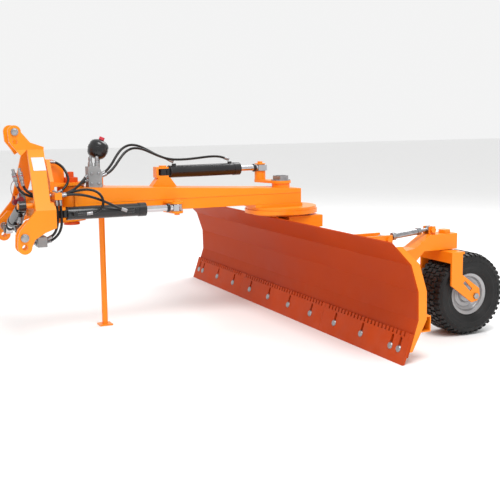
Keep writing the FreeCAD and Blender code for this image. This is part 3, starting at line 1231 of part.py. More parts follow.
def tyre():
    """Low-pressure turf tyre with rounded shoulders."""
    half = TYRE_WIDTH / 2
    outer = TYRE_RADIUS
    bead = RIM_RADIUS + 0.4
    flange = RIM_RADIUS + RIM_FLANGE
    seat = TYRE_WIDTH / 2 - 18
    profile = [(bead, -seat + 15), (flange + 1, -seat + 8), (flange + 6, -seat - 2),
               (outer - 92, -half + 6),
               (outer - 66, -half), (outer - 40, -half + 2), (outer - 18, -half + 14),
               (outer - 5, -half + 36), (outer, -half + 70), (outer, half - 70),
               (outer - 5, half - 36), (outer - 18, half - 14), (outer - 40, half - 2),
               (outer - 66, half), (outer - 92, half - 6), (flange + 6, seat + 2),
               (flange + 1, seat - 8), (bead, seat - 15), (bead, seat - 30),
               (bead + 24, seat - 16),
               (outer - 66, half - 12), (outer - 30, half - 22), (outer - 16, half - 74),
               (outer - 16, -half + 74), (outer - 30, -half + 22), (outer - 66, -half + 12),
               (bead + 24, -seat + 16), (bead, -seat + 30)]
    return turned(profile, WHEEL_Y)


# ---- hydraulic couplings and hoses -----------------------------------------------------------------------------
def quick_couplers():
    """Male quick couplers on the two tractor hoses, held in a clip on the left ear."""
    solids = []
    for route in (SUPPLY_FRONT_1, SUPPLY_FRONT_2):
        start = V(*route[0])
        axis = (start - V(*route[1])).normalize()
        body = rod(tuple(start), tuple(axis), 11, 18)
        sleeve = rod(tuple(start + axis * 18), tuple(axis), 17, 26)
        nose = rod(tuple(start + axis * 44), tuple(axis), 10, 22)
        solids.append(body.multiFuse([sleeve, nose]))
    return group(solids)


def dust_caps():
    """Rubber caps of the two quick couplers, hanging under them."""
    caps = []
    for x, y, z in DUST_CAP_PLACES:
        disc = rod((x, y, z), (0.3, -0.9, 0.2), 15, 18)
        tab = box(x - 4, x + 4, y - 6, y, z + 8, z + 34)
        caps.append(disc.fuse(tab))
    return group(caps)


def check_valve():
    """Lock valve of the tilt cylinder under the cross plates."""
    body = box(-1534, -1486, -214, -136, 536, 590)
    hanger = box(-1520, -1502, -200, -150, 590, CROSS_BOTTOM)
    return body.fuse(hanger)


def hose_sets():
    """Hoses by the joint that they cross."""
    return {
        "supply_hoses_front": [hose("supply_front_1", SUPPLY_FRONT_1),
                               hose("supply_front_2", SUPPLY_FRONT_2)],
        "supply_hoses_rear": [hose("supply_rear_1", SUPPLY_REAR_1),
                              hose("supply_rear_2", SUPPLY_REAR_2)],
        "turn_hoses": [hose("turn_1", TURN_1), hose("turn_2", TURN_2)],
        "swing_hoses": [hose("swing_1", SWING_1), hose("swing_2", SWING_2),
                        hose("guard_hose", GUARD_HOSE)],
        "tilt_hoses": [hose("tilt_1", TILT_1), hose("tilt_2", TILT_2)],
        "tilt_short_hoses": [hose("tilt_short_1", TILT_SHORT_1),
                             hose("tilt_short_2", TILT_SHORT_2)],
    }


# ---- assembly -------------------------------------------------------------------------------------------------
def build():
    """Every node of the machine by name."""
    left_plate, right_plate = both_sides(side_plate)
    left_lug, right_lug = both_sides(inner_lug)
    turn_barrel, turn_rod = turn_cylinder()
    swing_barrel, swing_rod = swing_cylinder()
    tilt_barrel, tilt_rod = tilt_cylinder()
    link_front, link_body, link_rear = turnbuckle()
    edge_left, edge_middle, edge_right = cutting_edges()
    nodes = {
        "hitch_side_plate_left": left_plate,
        "hitch_side_plate_right": right_plate,
        "hitch_inner_lugs": group([left_lug, right_lug]),
        "hitch_cross_plates": cross_plates(),
        "tilt_housing": tilt_housing(),
        "top_link_pin": top_link_pin(),
        "lower_link_pins": lower_link_pins(),
        "linch_pins": linch_pins(),
        "quick_couplers": quick_couplers(),
        "dust_caps": dust_caps(),
        "check_valve": check_valve(),
        "tilt_shaft": tilt_shaft(),
        "tilt_nut": tilt_nut(),
        "tilt_plate": tilt_plate(),
        "swing_yoke": yoke(),
        "swing_pin": swing_pin(),
        "tilt_cylinder_barrel": tilt_barrel,
        "tilt_cylinder_rod": tilt_rod,
        "swing_cylinder_barrel": swing_barrel,
        "swing_cylinder_rod": swing_rod,
        "turn_cylinder_barrel": turn_barrel,
        "turn_cylinder_rod": turn_rod,
        "beam_lower_channel": lower_channel(),
        "beam_upper_channel": upper_channel(),
        "beam_front_boss": beam_boss(),
        "beam_end_plate": beam_end(),
        "turntable_upper_disc": upper_disc(),
        "cylinder_brackets": cylinder_brackets(),
        "valve_block": valve_block(),
        "accumulator": accumulator(),
        "accumulator_cap": accumulator_cap(),
        "stand_sleeve": stand_sleeve(),
        "stand_leg": stand_leg(),
        "stand_clamp_screw": stand_clamp_screw(),
        "turntable_lower_disc": lower_disc(),
        "king_pin": king_pin(),
        "king_pin_nut": king_nut(),
        "turn_crank": crank(),
        "blade_support": blade_support(),
        "moldboard": moldboard(),
        "blade_ribs": blade_ribs(),
        "cutting_edge_left": edge_left,
        "cutting_edge_middle": edge_middle,
        "cutting_edge_right": edge_right,
        "edge_bolts": edge_bolts(),
        "wheel_bracket": wheel_bracket(),
        "wheel_arm": wheel_arm(),
        "turnbuckle_front_eye": link_front,
        "turnbuckle_sleeve": link_body,
        "turnbuckle_rear_eye": link_rear,
        "wheel_fork": fork(),
        "wheel_axle": axle(),
        "wheel_rim": rim(),
        "tyre": tyre(),
    }
    for name, hoses in hose_sets().items():
        nodes[name] = group(hoses)
    return nodes


def main():
    """Writes every node to its own STEP file."""
    os.makedirs("parts", exist_ok=True)
    for name, shape in build().items():
        save(name, shape)


if __name__ == "__main__":
    main()
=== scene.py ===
"""Looks of a hydraulic rear blade with a gauge wheel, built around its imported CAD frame.

Lengths written in millimetres are measured in the machine's own layout: the king pin's axis is
x = y = 0, +X runs rearwards, +Y to the machine's right and the ground is z = 0. at() turns such a
place into the frame's metres.
"""

import json
import logging
import math
from dataclasses import dataclass
from enum import Enum

import bmesh
import bpy
from mathutils import Matrix, Vector

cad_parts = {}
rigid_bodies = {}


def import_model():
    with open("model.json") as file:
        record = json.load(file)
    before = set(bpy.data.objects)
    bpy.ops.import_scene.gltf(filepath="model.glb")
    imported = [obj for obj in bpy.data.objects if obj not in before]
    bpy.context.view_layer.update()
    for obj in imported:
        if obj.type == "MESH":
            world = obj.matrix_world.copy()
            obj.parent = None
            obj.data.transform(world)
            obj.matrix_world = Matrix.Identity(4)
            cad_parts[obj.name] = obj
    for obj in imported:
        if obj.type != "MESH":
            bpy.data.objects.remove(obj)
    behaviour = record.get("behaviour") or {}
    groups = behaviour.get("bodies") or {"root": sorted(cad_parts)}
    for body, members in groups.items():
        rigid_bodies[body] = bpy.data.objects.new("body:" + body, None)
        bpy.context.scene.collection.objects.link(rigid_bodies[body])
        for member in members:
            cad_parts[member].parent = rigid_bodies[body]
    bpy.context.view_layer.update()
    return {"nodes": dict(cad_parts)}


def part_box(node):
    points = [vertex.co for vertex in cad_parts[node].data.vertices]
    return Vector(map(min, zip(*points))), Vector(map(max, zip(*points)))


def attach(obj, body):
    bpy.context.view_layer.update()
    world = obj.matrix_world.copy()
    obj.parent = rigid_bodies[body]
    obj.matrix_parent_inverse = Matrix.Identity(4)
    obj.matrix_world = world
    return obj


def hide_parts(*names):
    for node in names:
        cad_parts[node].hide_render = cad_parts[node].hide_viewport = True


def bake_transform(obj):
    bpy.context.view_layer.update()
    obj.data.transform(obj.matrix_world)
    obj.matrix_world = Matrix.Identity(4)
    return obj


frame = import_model()
KING_LOW, KING_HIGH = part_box("king_pin")
KING_X = (KING_LOW.x + KING_HIGH.x) / 2
MM = 0.001
UP = Vector((0, 0, 1))
LEFT = Vector((0, -1, 0))

LOG = logging.getLogger("rear_blade")

Point = tuple[float, float, float]


def at(x: float, y: float, z: float) -> Vector:
    """Turns a place in the layout's millimetres into the frame's metres.

    Args:
        x: Distance behind the king pin.
        y: Distance to the machine's right.
        z: Height above the ground.

    Returns:
        The same place in the frame.
    """
    return Vector((x * MM + KING_X, y * MM, z * MM))


# ---- shader groups -----------------------------------------------------------------------------
class NodeKit:
    """Adds nodes and links to one node tree with short calls."""

    def __init__(self, tree: bpy.types.NodeTree) -> None:
        """Keeps the tree that the nodes go into."""
        self.tree = tree
        self.column = 0

    def add(self, kind: str, **settings: object) -> bpy.types.Node:
        """Adds a node and sets its properties.

        Args:
            kind: The node's type name.
            settings: Properties of the node.

        Returns:
            The new node.
        """
        node = self.tree.nodes.new(kind)
        node.location = (self.column * 190, -60 * (self.column % 4))
        self.column += 1
        for name, value in settings.items():
            setattr(node, name, value)
        return node

    def link(self, source: bpy.types.NodeSocket, target: bpy.types.NodeSocket) -> None:
        """Joins an output to an input."""
        self.tree.links.new(source, target)

    def math(self, operation: str, first: object, second: object = None) -> bpy.types.NodeSocket:
        """Adds a Math node.

        Args:
            operation: The Math node's operation.
            first: A socket or a number.
            second: A socket or a number, or None for a one-input operation.

        Returns:
            The node's output.
        """
        node = self.add("ShaderNodeMath", operation=operation)
        for socket, value in zip(node.inputs, (first, second)):
            if isinstance(value, bpy.types.NodeSocket):
                self.link(value, socket)
            elif value is not None:
                socket.default_value = value
        return node.outputs[0]

    def ramp(self, source: bpy.types.NodeSocket, low: float, high: float) -> bpy.types.NodeSocket:
        """Maps a value from low..high to 0..1, clamped."""
        node = self.add("ShaderNodeMapRange")
        self.link(source, node.inputs["Value"])
        node.inputs["From Min"].default_value = low
        node.inputs["From Max"].default_value = high
        return node.outputs["Result"]

    def noise(self, scale: object, detail: float = 3.0, stretch: Point = (1, 1, 1)
              ) -> bpy.types.NodeSocket:
        """Adds noise on object coordinates.

        Args:
            scale: The noise's scale, or a socket that gives it.
            detail: Octaves of the noise.
            stretch: Scale of the coordinates along each axis.

        Returns:
            The noise's value.
        """
        place = self.add("ShaderNodeTexCoord")
        mapping = self.add("ShaderNodeMapping")
        mapping.inputs["Scale"].default_value = stretch
        node = self.add("ShaderNodeTexNoise")
        node.inputs["Detail"].default_value = detail
        self.link(place.outputs["Object"], mapping.inputs["Vector"])
        self.link(mapping.outputs["Vector"], node.inputs["Vector"])
        if isinstance(scale, bpy.types.NodeSocket):
            self.link(scale, node.inputs["Scale"])
        else:
            node.inputs["Scale"].default_value = scale
        return node.outputs["Fac"]

    def group(self, tree: bpy.types.NodeTree, values: dict[str, float]) -> bpy.types.Node:
        """Adds a node group and sets its number inputs."""
        node = self.add("ShaderNodeGroup", node_tree=tree)
        for name, value in values.items():
            node.inputs[name].default_value = value
        return node

    def bump(self, height: bpy.types.NodeSocket, strength: float, depth: float,
             surface: bpy.types.Node, normal: bpy.types.NodeSocket | None = None) -> None:
        """Adds a bump and links it to a surface.

        Args:
            height: What gives the bump's height.
            strength: How strongly it shows.
            depth: Its distance in metres.
            surface: The Principled BSDF that gets it.
            normal: The normal that the bump starts from, if it isn't the mesh's own.
        """
        node = self.add("ShaderNodeBump")
        node.inputs["Strength"].default_value = strength
        node.inputs["Distance"].default_value = depth
        self.link(height, node.inputs["Height"])
        if normal is not None:
            self.link(normal, node.inputs["Normal"])
        self.link(node.outputs["Normal"], surface.inputs["Normal"])

    def mix(self, factor: object, first: object, second: object) -> bpy.types.NodeSocket:
        """Mixes two colours; each of the three may be a socket or a value."""
        node = self.add("ShaderNodeMix", data_type="RGBA")
        for socket, value in ((node.inputs[0], factor), (node.inputs[6], first),
                              (node.inputs[7], second)):
            if isinstance(value, bpy.types.NodeSocket):
                self.link(value, socket)
            else:
                socket.default_value = value
        return node.outputs[2]


def new_group(name: str, inputs: dict[str, float], outputs: dict[str, str]
              ) -> tuple[NodeKit, bpy.types.Node, bpy.types.Node]:
    """Starts a shader node group.

    Args:
        name: The group's name.
        inputs: Names and default values of its number inputs.
        outputs: Names and socket types of its outputs.
    """
    tree = bpy.data.node_groups.new(name, "ShaderNodeTree")
    for label, value in inputs.items():
        socket = tree.interface.new_socket(label, in_out="INPUT", socket_type="NodeSocketFloat")
        socket.default_value = value
    for label, kind in outputs.items():
        tree.interface.new_socket(label, in_out="OUTPUT", socket_type=kind)
    kit = NodeKit(tree)
    return kit, kit.add("NodeGroupInput"), kit.add("NodeGroupOutput")


class Effects:
    """Shader groups that several finishes share."""

    def __init__(self) -> None:
        """Builds every group once."""
        self.edges = self.build_edges()
        self.grain = self.build_grain()
        self.dust = self.build_dust()

    @staticmethod
    def build_edges() -> bpy.types.NodeTree:
        """Builds the group that finds worn edges and rounds them.

        Returns:
            A group with a wear mask and a normal that rounds sharp edges.
        """
        kit, given, result = new_group(
            "edge_wear", {"Radius": 0.002, "Amount": 0.5, "Patch Scale": 60.0},
            {"Mask": "NodeSocketFloat", "Normal": "NodeSocketVector"})
        bevel = kit.add("ShaderNodeBevel", samples=4)
        kit.link(given.outputs["Radius"], bevel.inputs["Radius"])
        plain = kit.add("ShaderNodeNewGeometry")
        dot = kit.add("ShaderNodeVectorMath", operation="DOT_PRODUCT")
        kit.link(bevel.outputs[0], dot.inputs[0])
        kit.link(plain.outputs["True Normal"], dot.inputs[1])
        turned = kit.math("SUBTRACT", 1.0, dot.outputs["Value"])
        edge = kit.ramp(turned, 0.015, 0.16)
        patches = kit.ramp(kit.noise(given.outputs["Patch Scale"], 5.0), 0.44, 0.62)
        worn = kit.math("MULTIPLY", edge, patches)
        kit.link(kit.math("MULTIPLY", worn, given.outputs["Amount"]), result.inputs["Mask"])
        kit.link(bevel.outputs[0], result.inputs["Normal"])
        return kit.tree

    @staticmethod
    def build_grain() -> bpy.types.NodeTree:
        """Builds the group with a slow tone drift and a fine surface height.

        Returns:
            A group with a tone from 0 to 1 and a height for a bump.
        """
        kit, given, result = new_group(
            "surface_grain", {"Tone Scale": 2.5, "Grain Scale": 900.0},
            {"Tone": "NodeSocketFloat", "Height": "NodeSocketFloat"})
        slow = kit.noise(given.outputs["Tone Scale"], 4.0)
        kit.link(kit.ramp(slow, 0.3, 0.7), result.inputs["Tone"])
        kit.link(kit.noise(given.outputs["Grain Scale"], 2.0), result.inputs["Height"])
        return kit.tree

    @staticmethod
    def build_dust() -> bpy.types.NodeTree:
        """Builds the group that finds where dust lies: on faces turned up and near the ground.

        Returns:
            A group with a dust mask.
        """
        kit, given, result = new_group(
            "dust", {"Amount": 0.3, "Reach": 0.35}, {"Mask": "NodeSocketFloat"})
        surface = kit.add("ShaderNodeNewGeometry")
        facing = kit.add("ShaderNodeSeparateXYZ")
        kit.link(surface.outputs["Normal"], facing.inputs[0])
        upward = kit.math("MULTIPLY", kit.ramp(facing.outputs["Z"], 0.5, 1.0), 0.45)
        place = kit.add("ShaderNodeTexCoord")
        height = kit.add("ShaderNodeSeparateXYZ")
        kit.link(place.outputs["Object"], height.inputs[0])
        low = kit.math("SUBTRACT", 1.0, kit.math("DIVIDE", height.outputs["Z"],
                                                 given.outputs["Reach"]))
        splash = kit.math("MAXIMUM", low, 0.0)
        where = kit.math("MAXIMUM", upward, splash)
        patches = kit.ramp(kit.noise(11.0, 6.0), 0.38, 0.72)
        dusty = kit.math("MULTIPLY", where, patches)
        kit.link(kit.math("MULTIPLY", dusty, given.outputs["Amount"]), result.inputs["Mask"])
        return kit.tree


# ---- finishes ----------------------------------------------------------------------------------
DUST_COLOUR = (0.42, 0.36, 0.29, 1)
DUST_ROUGHNESS = 0.5
COAT_ROUGHNESS = 0.08
BUMP_DEPTH = 0.001
WRAP_TURN_PER_METRE = 420.0


@dataclass(frozen=True)
class Finish:
    """One surface finish: its colours, gloss and how worn and dusty it is."""

    name: str
    colour: Point
    shade: Point
    roughness: float
    metallic: float = 0.0
    coat: float = 0.0
    specular: float = 0.5
    wear: float = 0.0
    wear_colour: Point = (0.35, 0.33, 0.3)
    wear_radius: float = 0.0025
    dust: float = 0.0
    grain: float = 900.0
    bump: float = 0.04
    tone_scale: float = 2.5
    rough_drift: float = 0.12

    def build(self, effects: Effects) -> bpy.types.Material:
        """Builds the material.

        Args:
            effects: The shared shader groups.

        Returns:
            The finished material.
        """
        material, kit, surface = blank_material(self.name)
        grain = kit.group(effects.grain, {"Tone Scale": self.tone_scale,
                                          "Grain Scale": self.grain})
        edges = kit.group(effects.edges, {"Radius": self.wear_radius, "Amount": self.wear})
        dust = kit.group(effects.dust, {"Amount": self.dust})
        tone = kit.mix(grain.outputs["Tone"], (*self.shade, 1), (*self.colour, 1))
        worn = kit.mix(edges.outputs["Mask"], tone, (*self.wear_colour, 1))
        dusty = kit.mix(dust.outputs["Mask"], worn, DUST_COLOUR)
        kit.link(dusty, surface.inputs["Base Color"])
        drift = kit.math("MULTIPLY", grain.outputs["Tone"], self.rough_drift)
        rough = kit.math("ADD", drift, self.roughness)
        powdery = kit.math("MULTIPLY", dust.outputs["Mask"], DUST_ROUGHNESS)
        kit.link(kit.math("ADD", rough, powdery), surface.inputs["Roughness"])
        kit.bump(grain.outputs["Height"], self.bump, BUMP_DEPTH, surface, edges.outputs["Normal"])
        surface.inputs["Metallic"].default_value = self.metallic
        surface.inputs["Coat Weight"].default_value = self.coat
        surface.inputs["Coat Roughness"].default_value = COAT_ROUGHNESS
        surface.inputs["Specular IOR Level"].default_value = self.specular
        return material


def blank_material(name: str) -> tuple[bpy.types.Material, NodeKit, bpy.types.Node]:
    """Starts a material that holds only a Principled BSDF and its output.

    Args:
        name: The material's name.
    """
    material = bpy.data.materials.new(name)
    material.use_nodes = True
    tree = material.node_tree
    tree.nodes.clear()
    kit = NodeKit(tree)
    surface = kit.add("ShaderNodeBsdfPrincipled")
    output = kit.add("ShaderNodeOutputMaterial")
    kit.link(surface.outputs["BSDF"], output.inputs["Surface"])
    return material, kit, surface


ORANGE = Finish("orange_enamel", (0.92, 0.262, 0.005), (0.86, 0.225, 0.004), 0.3, coat=0.12,
                wear=0.35, wear_colour=(0.5, 0.19, 0.05), dust=0.04, grain=420.0, bump=0.05,
                specular=0.3)
# The moldboard's orange enamel darkened to a deep red-orange: both its colours are painted shade,
# standing in for the shadow on the blade.
BLADE_PAINTED_SHADE = Finish("blade_enamel", (0.45, 0.046, 0.002), (0.38, 0.034, 0.001), 0.42, coat=0.02,
                      wear=0.4, wear_colour=(0.42, 0.15, 0.05), dust=0.05, grain=300.0, bump=0.06,
                      tone_scale=1.6, rough_drift=0.16, specular=0.08)
# The cutting edges' orange enamel darkened by painted shade, like the moldboard's; the worn spots
# on it are real wear.
EDGE_PAINTED_SHADE = Finish("edge_enamel", (0.5, 0.054, 0.004), (0.42, 0.042, 0.003), 0.46, coat=0.02,
                    wear=0.6, wear_colour=(0.22, 0.12, 0.08), dust=0.06, grain=240.0, bump=0.1,
                    tone_scale=5.0, specular=0.1)
# A darker, redder copy of the orange enamel: painted shade on the swing pin block.
RED_ORANGE_PAINTED_SHADE = Finish("red_orange_enamel", (0.7, 0.085, 0.006), (0.6, 0.065, 0.004), 0.34, coat=0.1,
                    wear=0.4, wear_colour=(0.4, 0.14, 0.06), dust=0.04, grain=400.0, specular=0.25)
ZINC = Finish("zinc_plate", (0.42, 0.42, 0.43), (0.27, 0.27, 0.28), 0.3, metallic=1.0,
              wear=0.25, wear_colour=(0.42, 0.4, 0.37), grain=1600.0, tone_scale=35.0, bump=0.03)
DARK_STEEL = Finish("dark_steel", (0.16, 0.16, 0.165), (0.1, 0.1, 0.1), 0.38, metallic=0.9,
                    wear=0.4, wear_colour=(0.4, 0.39, 0.38), grain=1200.0, tone_scale=20.0)
CAST_ALLOY = Finish("cast_alloy", (0.38, 0.38, 0.38), (0.27, 0.27, 0.27), 0.48, metallic=0.85,
                    wear=0.3, wear_colour=(0.75, 0.75, 0.75), grain=700.0, bump=0.25,
                    tone_scale=14.0)
BLACK_PAINT = Finish("black_enamel", (0.008, 0.008, 0.009), (0.004, 0.004, 0.005), 0.24, coat=0.25,
                     wear=0.25, wear_colour=(0.12, 0.11, 0.1), dust=0.03, grain=500.0,
                     tone_scale=8.0, specular=0.4)
CHROME = Finish("chrome", (0.62, 0.62, 0.64), (0.52, 0.52, 0.54), 0.08, metallic=1.0,
                grain=2500.0, bump=0.01, tone_scale=12.0, rough_drift=0.05)
SILVER_PAINT = Finish("silver_enamel", (0.42, 0.42, 0.43), (0.3, 0.3, 0.31), 0.33, metallic=0.55,
                      coat=0.2, wear=0.3, wear_colour=(0.3, 0.27, 0.24), dust=0.35, grain=800.0,
                      tone_scale=9.0)
CAP_RED = Finish("dark_red_plastic", (0.2, 0.008, 0.02), (0.14, 0.005, 0.014), 0.42,
                 grain=1400.0, bump=0.08, tone_scale=25.0)
CAP_PINK = Finish("rose_red_plastic", (0.62, 0.035, 0.055), (0.5, 0.02, 0.04), 0.38,
                  grain=1400.0, bump=0.06, tone_scale=25.0)
PLATE_WHITE = Finish("blank_label", (0.6, 0.65, 0.7), (0.53, 0.58, 0.63), 0.4, coat=0.1,
                     grain=1800.0, bump=0.02, tone_scale=40.0)


class Paints:
    """Every material of the machine, built once."""

    def __init__(self) -> None:
        """Builds the shared groups and then each material."""
        effects = Effects()
        finishes = (ORANGE, BLADE_PAINTED_SHADE, EDGE_PAINTED_SHADE, RED_ORANGE_PAINTED_SHADE, ZINC, DARK_STEEL, CAST_ALLOY,
                    BLACK_PAINT, CHROME, SILVER_PAINT, CAP_RED, CAP_PINK, PLATE_WHITE)
        self.made = {finish.name: finish.build(effects) for finish in finishes}
        self.made["hose_rubber"] = self.hose_rubber()
        self.made["tyre_rubber"] = self.tyre_rubber(effects)

    def __getitem__(self, finish: Finish | str) -> bpy.types.Material:
        """Returns the material of a finish, or the one with a name."""
        return self.made[finish if isinstance(finish, str) else finish.name]

    @staticmethod
    def hose_rubber() -> bpy.types.Material:
        """Builds the hoses' cover: black rubber with the faint diagonal print of its wrapping.

        Returns:
            A material that reads the hose's own UV map, u round it and v along it in metres.
        """
        material, kit, surface = blank_material("hose_rubber")
        place = kit.add("ShaderNodeUVMap", uv_map="along")
        parts = kit.add("ShaderNodeSeparateXYZ")
        kit.link(place.outputs["UV"], parts.inputs[0])
        lap = kit.math("ADD", kit.math("MULTIPLY", parts.outputs["Y"], WRAP_TURN_PER_METRE),
                       kit.math("MULTIPLY", parts.outputs["X"], 2 * math.pi))
        wrap = kit.math("MULTIPLY", kit.math("SINE", lap), 0.5)
        cloth = kit.noise(2200.0, 2.0)
        kit.bump(kit.math("ADD", wrap, cloth), 0.22, 0.0006, surface)
        scuffs = kit.ramp(kit.noise(28.0, 5.0), 0.5, 0.75)
        colour = kit.mix(scuffs, (0.005, 0.005, 0.005, 1), (0.014, 0.013, 0.013, 1))
        kit.link(colour, surface.inputs["Base Color"])
        kit.link(kit.math("ADD", kit.math("MULTIPLY", scuffs, 0.2), 0.3),
                 surface.inputs["Roughness"])
        surface.inputs["Specular IOR Level"].default_value = 0.35
        return material

    @staticmethod
    def tyre_rubber(effects: Effects) -> bpy.types.Material:
        """Builds the tyre's rubber: lighter in random patches, greyer where the tread scuffs.

        Args:
            effects: The shared shader groups.

        Returns:
            The material.
        """
        material, kit, surface = blank_material("tyre_rubber")
        edges = kit.group(effects.edges, {"Radius": 0.003, "Amount": 0.9})
        scuffs = kit.ramp(kit.noise(16.0, 6.0), 0.42, 0.7)
        base = kit.mix(scuffs, (0.006, 0.006, 0.006, 1), (0.015, 0.014, 0.014, 1))
        rubbed = kit.mix(edges.outputs["Mask"], base, (0.045, 0.044, 0.042, 1))
        kit.link(rubbed, surface.inputs["Base Color"])
        kit.link(kit.math("ADD", kit.math("MULTIPLY", scuffs, 0.16), 0.44),
                 surface.inputs["Roughness"])
        kit.bump(kit.noise(260.0, 4.0), 0.2, BUMP_DEPTH, surface, edges.outputs["Normal"])
        surface.inputs["Specular IOR Level"].default_value = 0.3
        return material


# ---- mesh building -----------------------------------------------------------------------------
class Shading(Enum):
    """How a piece's faces meet."""

    FLAT = "flat"
    SMOOTH = "smooth"


SHARP_ANGLE = math.radians(32)


def as_object(name: str, mesh: bpy.types.Mesh) -> bpy.types.Object:
    """Links a new object that shows a mesh."""
    obj = bpy.data.objects.new(name, mesh)
    bpy.context.scene.collection.objects.link(obj)
    return obj


def as_piece(name: str, form: bmesh.types.BMesh, shading: Shading) -> bpy.types.Object:
    """Turns a bmesh's faces outwards and makes it an object; the bmesh is freed."""
    bmesh.ops.recalc_face_normals(form, faces=form.faces)
    mesh = bpy.data.meshes.new(name)
    form.to_mesh(mesh)
    form.free()
    if shading is Shading.SMOOTH:
        mesh.shade_smooth()
        mesh.set_sharp_from_angle(angle=SHARP_ANGLE)
    return as_object(name, mesh)


def settle(name: str, form: bmesh.types.BMesh, shading: Shading = Shading.SMOOTH
           ) -> bpy.types.Object:
    """Cleans a bmesh, turns its faces outwards and makes it an object.

    Args:
        name: Name of the piece.
        form: The shape, which is freed.
        shading: Whether its faces are smooth up to the sharp angle.

    Returns:
        The new object.
    """
    bmesh.ops.remove_doubles(form, verts=form.verts, dist=1e-6)
    return as_piece(name, form, shading)


def aim(origin: Vector, axis: Vector) -> Matrix:
    """Returns the matrix that moves +Z at the origin onto an axis at a place."""
    turn = UP.rotation_difference(axis.normalized()).to_matrix().to_4x4()
    return Matrix.Translation(origin) @ turn


def add_lathe(form: bmesh.types.BMesh, profile: list[tuple[float, float]], place: Matrix,
              steps: int = 40) -> None:
    """Adds a turned shape.

    Args:
        form: The bmesh that gets it.
        profile: Radius and height pairs in millimetres, from one end of the axis to the other.
        place: Where the turned shape's +Z axis goes.
        steps: Number of facets round it.
    """
    rings = []
    for radius, height in profile:
        if radius <= 0:
            rings.append([form.verts.new(place @ Vector((0, 0, height * MM)))])
            continue
        ring = []
        for i in range(steps):
            angle = 2 * math.pi * i / steps
            spot = Vector((radius * math.cos(angle), radius * math.sin(angle), height)) * MM
            ring.append(form.verts.new(place @ spot))
        rings.append(ring)
    for low, high in zip(rings, rings[1:]):
        for i in range(steps):
            j = (i + 1) % steps
            corners = [low[i % len(low)], low[j % len(low)], high[j % len(high)],
                       high[i % len(high)]]
            unique = list(dict.fromkeys(corners))
            if len(unique) > 2:
                form.faces.new(unique)
    for ring, flip in ((rings[0], True), (rings[-1], False)):
        if len(ring) > 2 and rings[0] is not rings[-1] and profile[0] != profile[-1]:
            form.faces.new(ring[::-1] if flip else ring)


def add_ring(form: bmesh.types.BMesh, profile: list[tuple[float, float]], place: Matrix,
             steps: int = 40) -> None:
    """Adds a turned shape whose profile closes on itself, such as a tyre or a washer."""
    add_lathe(form, profile + profile[:1], place, steps)


def add_prism(form: bmesh.types.BMesh, sides: int, radius: float, low: float, high: float,
              place: Matrix, chamfer: float = 1.2) -> None:
    """Adds a chamfered prism, such as a hexagon nut blank.

    Args:
        form: The bmesh that gets it.
        sides: Number of flats.
        radius: Distance of the corners from the axis, in millimetres.
        low: Height of its lower face.
        high: Height of its upper face.
        place: Where its +Z axis goes.
        chamfer: How much its two end faces are drawn in.
    """
    add_lathe(form, [(radius - chamfer, low), (radius, low + chamfer * 0.6),
                     (radius, high - chamfer * 0.6), (radius - chamfer, high)], place, sides)


def add_slab(form: bmesh.types.BMesh, size: Point, place: Matrix, chamfer: float = 1.5) -> None:
    """Adds a block with chamfered edges, its middle at the place's origin.

    Args:
        form: The bmesh that gets it.
        size: Its three sizes in millimetres.
        place: Where it goes.
        chamfer: Width of the chamfer in millimetres.
    """
    part = bmesh.new()
    bmesh.ops.create_cube(part, size=1)
    bmesh.ops.scale(part, vec=Vector(size) * MM, verts=part.verts)
    bmesh.ops.bevel(part, geom=part.edges[:], offset=chamfer * MM, segments=2, affect="EDGES",
                    profile=0.6)
    bmesh.ops.transform(part, matrix=place, verts=part.verts)
    spare = bpy.data.meshes.new("spare")
    part.to_mesh(spare)
    part.free()
    form.from_mesh(spare)
    bpy.data.meshes.remove(spare)


def frames_along(path: list[Vector]) -> list[Matrix]:
    """Builds turning frames along a path with no twist.

    Args:
        path: The path's points.

    Returns:
        One matrix at each point, its Z axis along the path.
    """
    headings = []
    for i in range(len(path)):
        ahead = path[min(i + 1, len(path) - 1)] - path[max(i - 1, 0)]
        headings.append(ahead.normalized())
    side = headings[0].orthogonal().normalized()
    frames = []
    for i, heading in enumerate(headings):
        if i:
            turn = headings[i - 1].rotation_difference(heading)
            side = (turn @ side).normalized()
        up = heading.cross(side).normalized()
        side = up.cross(heading).normalized()
        rotation = Matrix((side, up, heading)).transposed().to_4x4()
        frames.append(Matrix.Translation(path[i]) @ rotation)
    return frames


def add_tube(form: bmesh.types.BMesh, path: list[Vector], radius: float, steps: int = 14) -> None:
    """Adds a round tube along a path.

    Args:
        form: The bmesh that gets it.
        path: Points in the frame's metres.
        radius: Radius in millimetres.
        steps: Number of facets round it.
    """
    layer = form.loops.layers.uv.get("along") or form.loops.layers.uv.new("along")
    run = 0.0
    rows = []
    for i, place in enumerate(frames_along(path)):
        run += (path[i] - path[i - 1]).length if i else 0.0
        ring = []
        for k in range(steps):
            angle = 2 * math.pi * k / steps
            spot = Vector((math.cos(angle), math.sin(angle), 0)) * (radius * MM)
            ring.append(form.verts.new(place @ spot))
        rows.append((ring, run))
    for (low, start), (high, end) in zip(rows, rows[1:]):
        for k in range(steps):
            nxt = (k + 1) % steps
            face = form.faces.new((low[k], low[nxt], high[nxt], high[k]))
            for loop, u, v in zip(face.loops, (k, k + 1, k + 1, k), (start, start, end, end)):
                loop[layer].uv = (u / steps, v)
    form.faces.new(rows[0][0][::-1])
    form.faces.new(rows[-1][0])


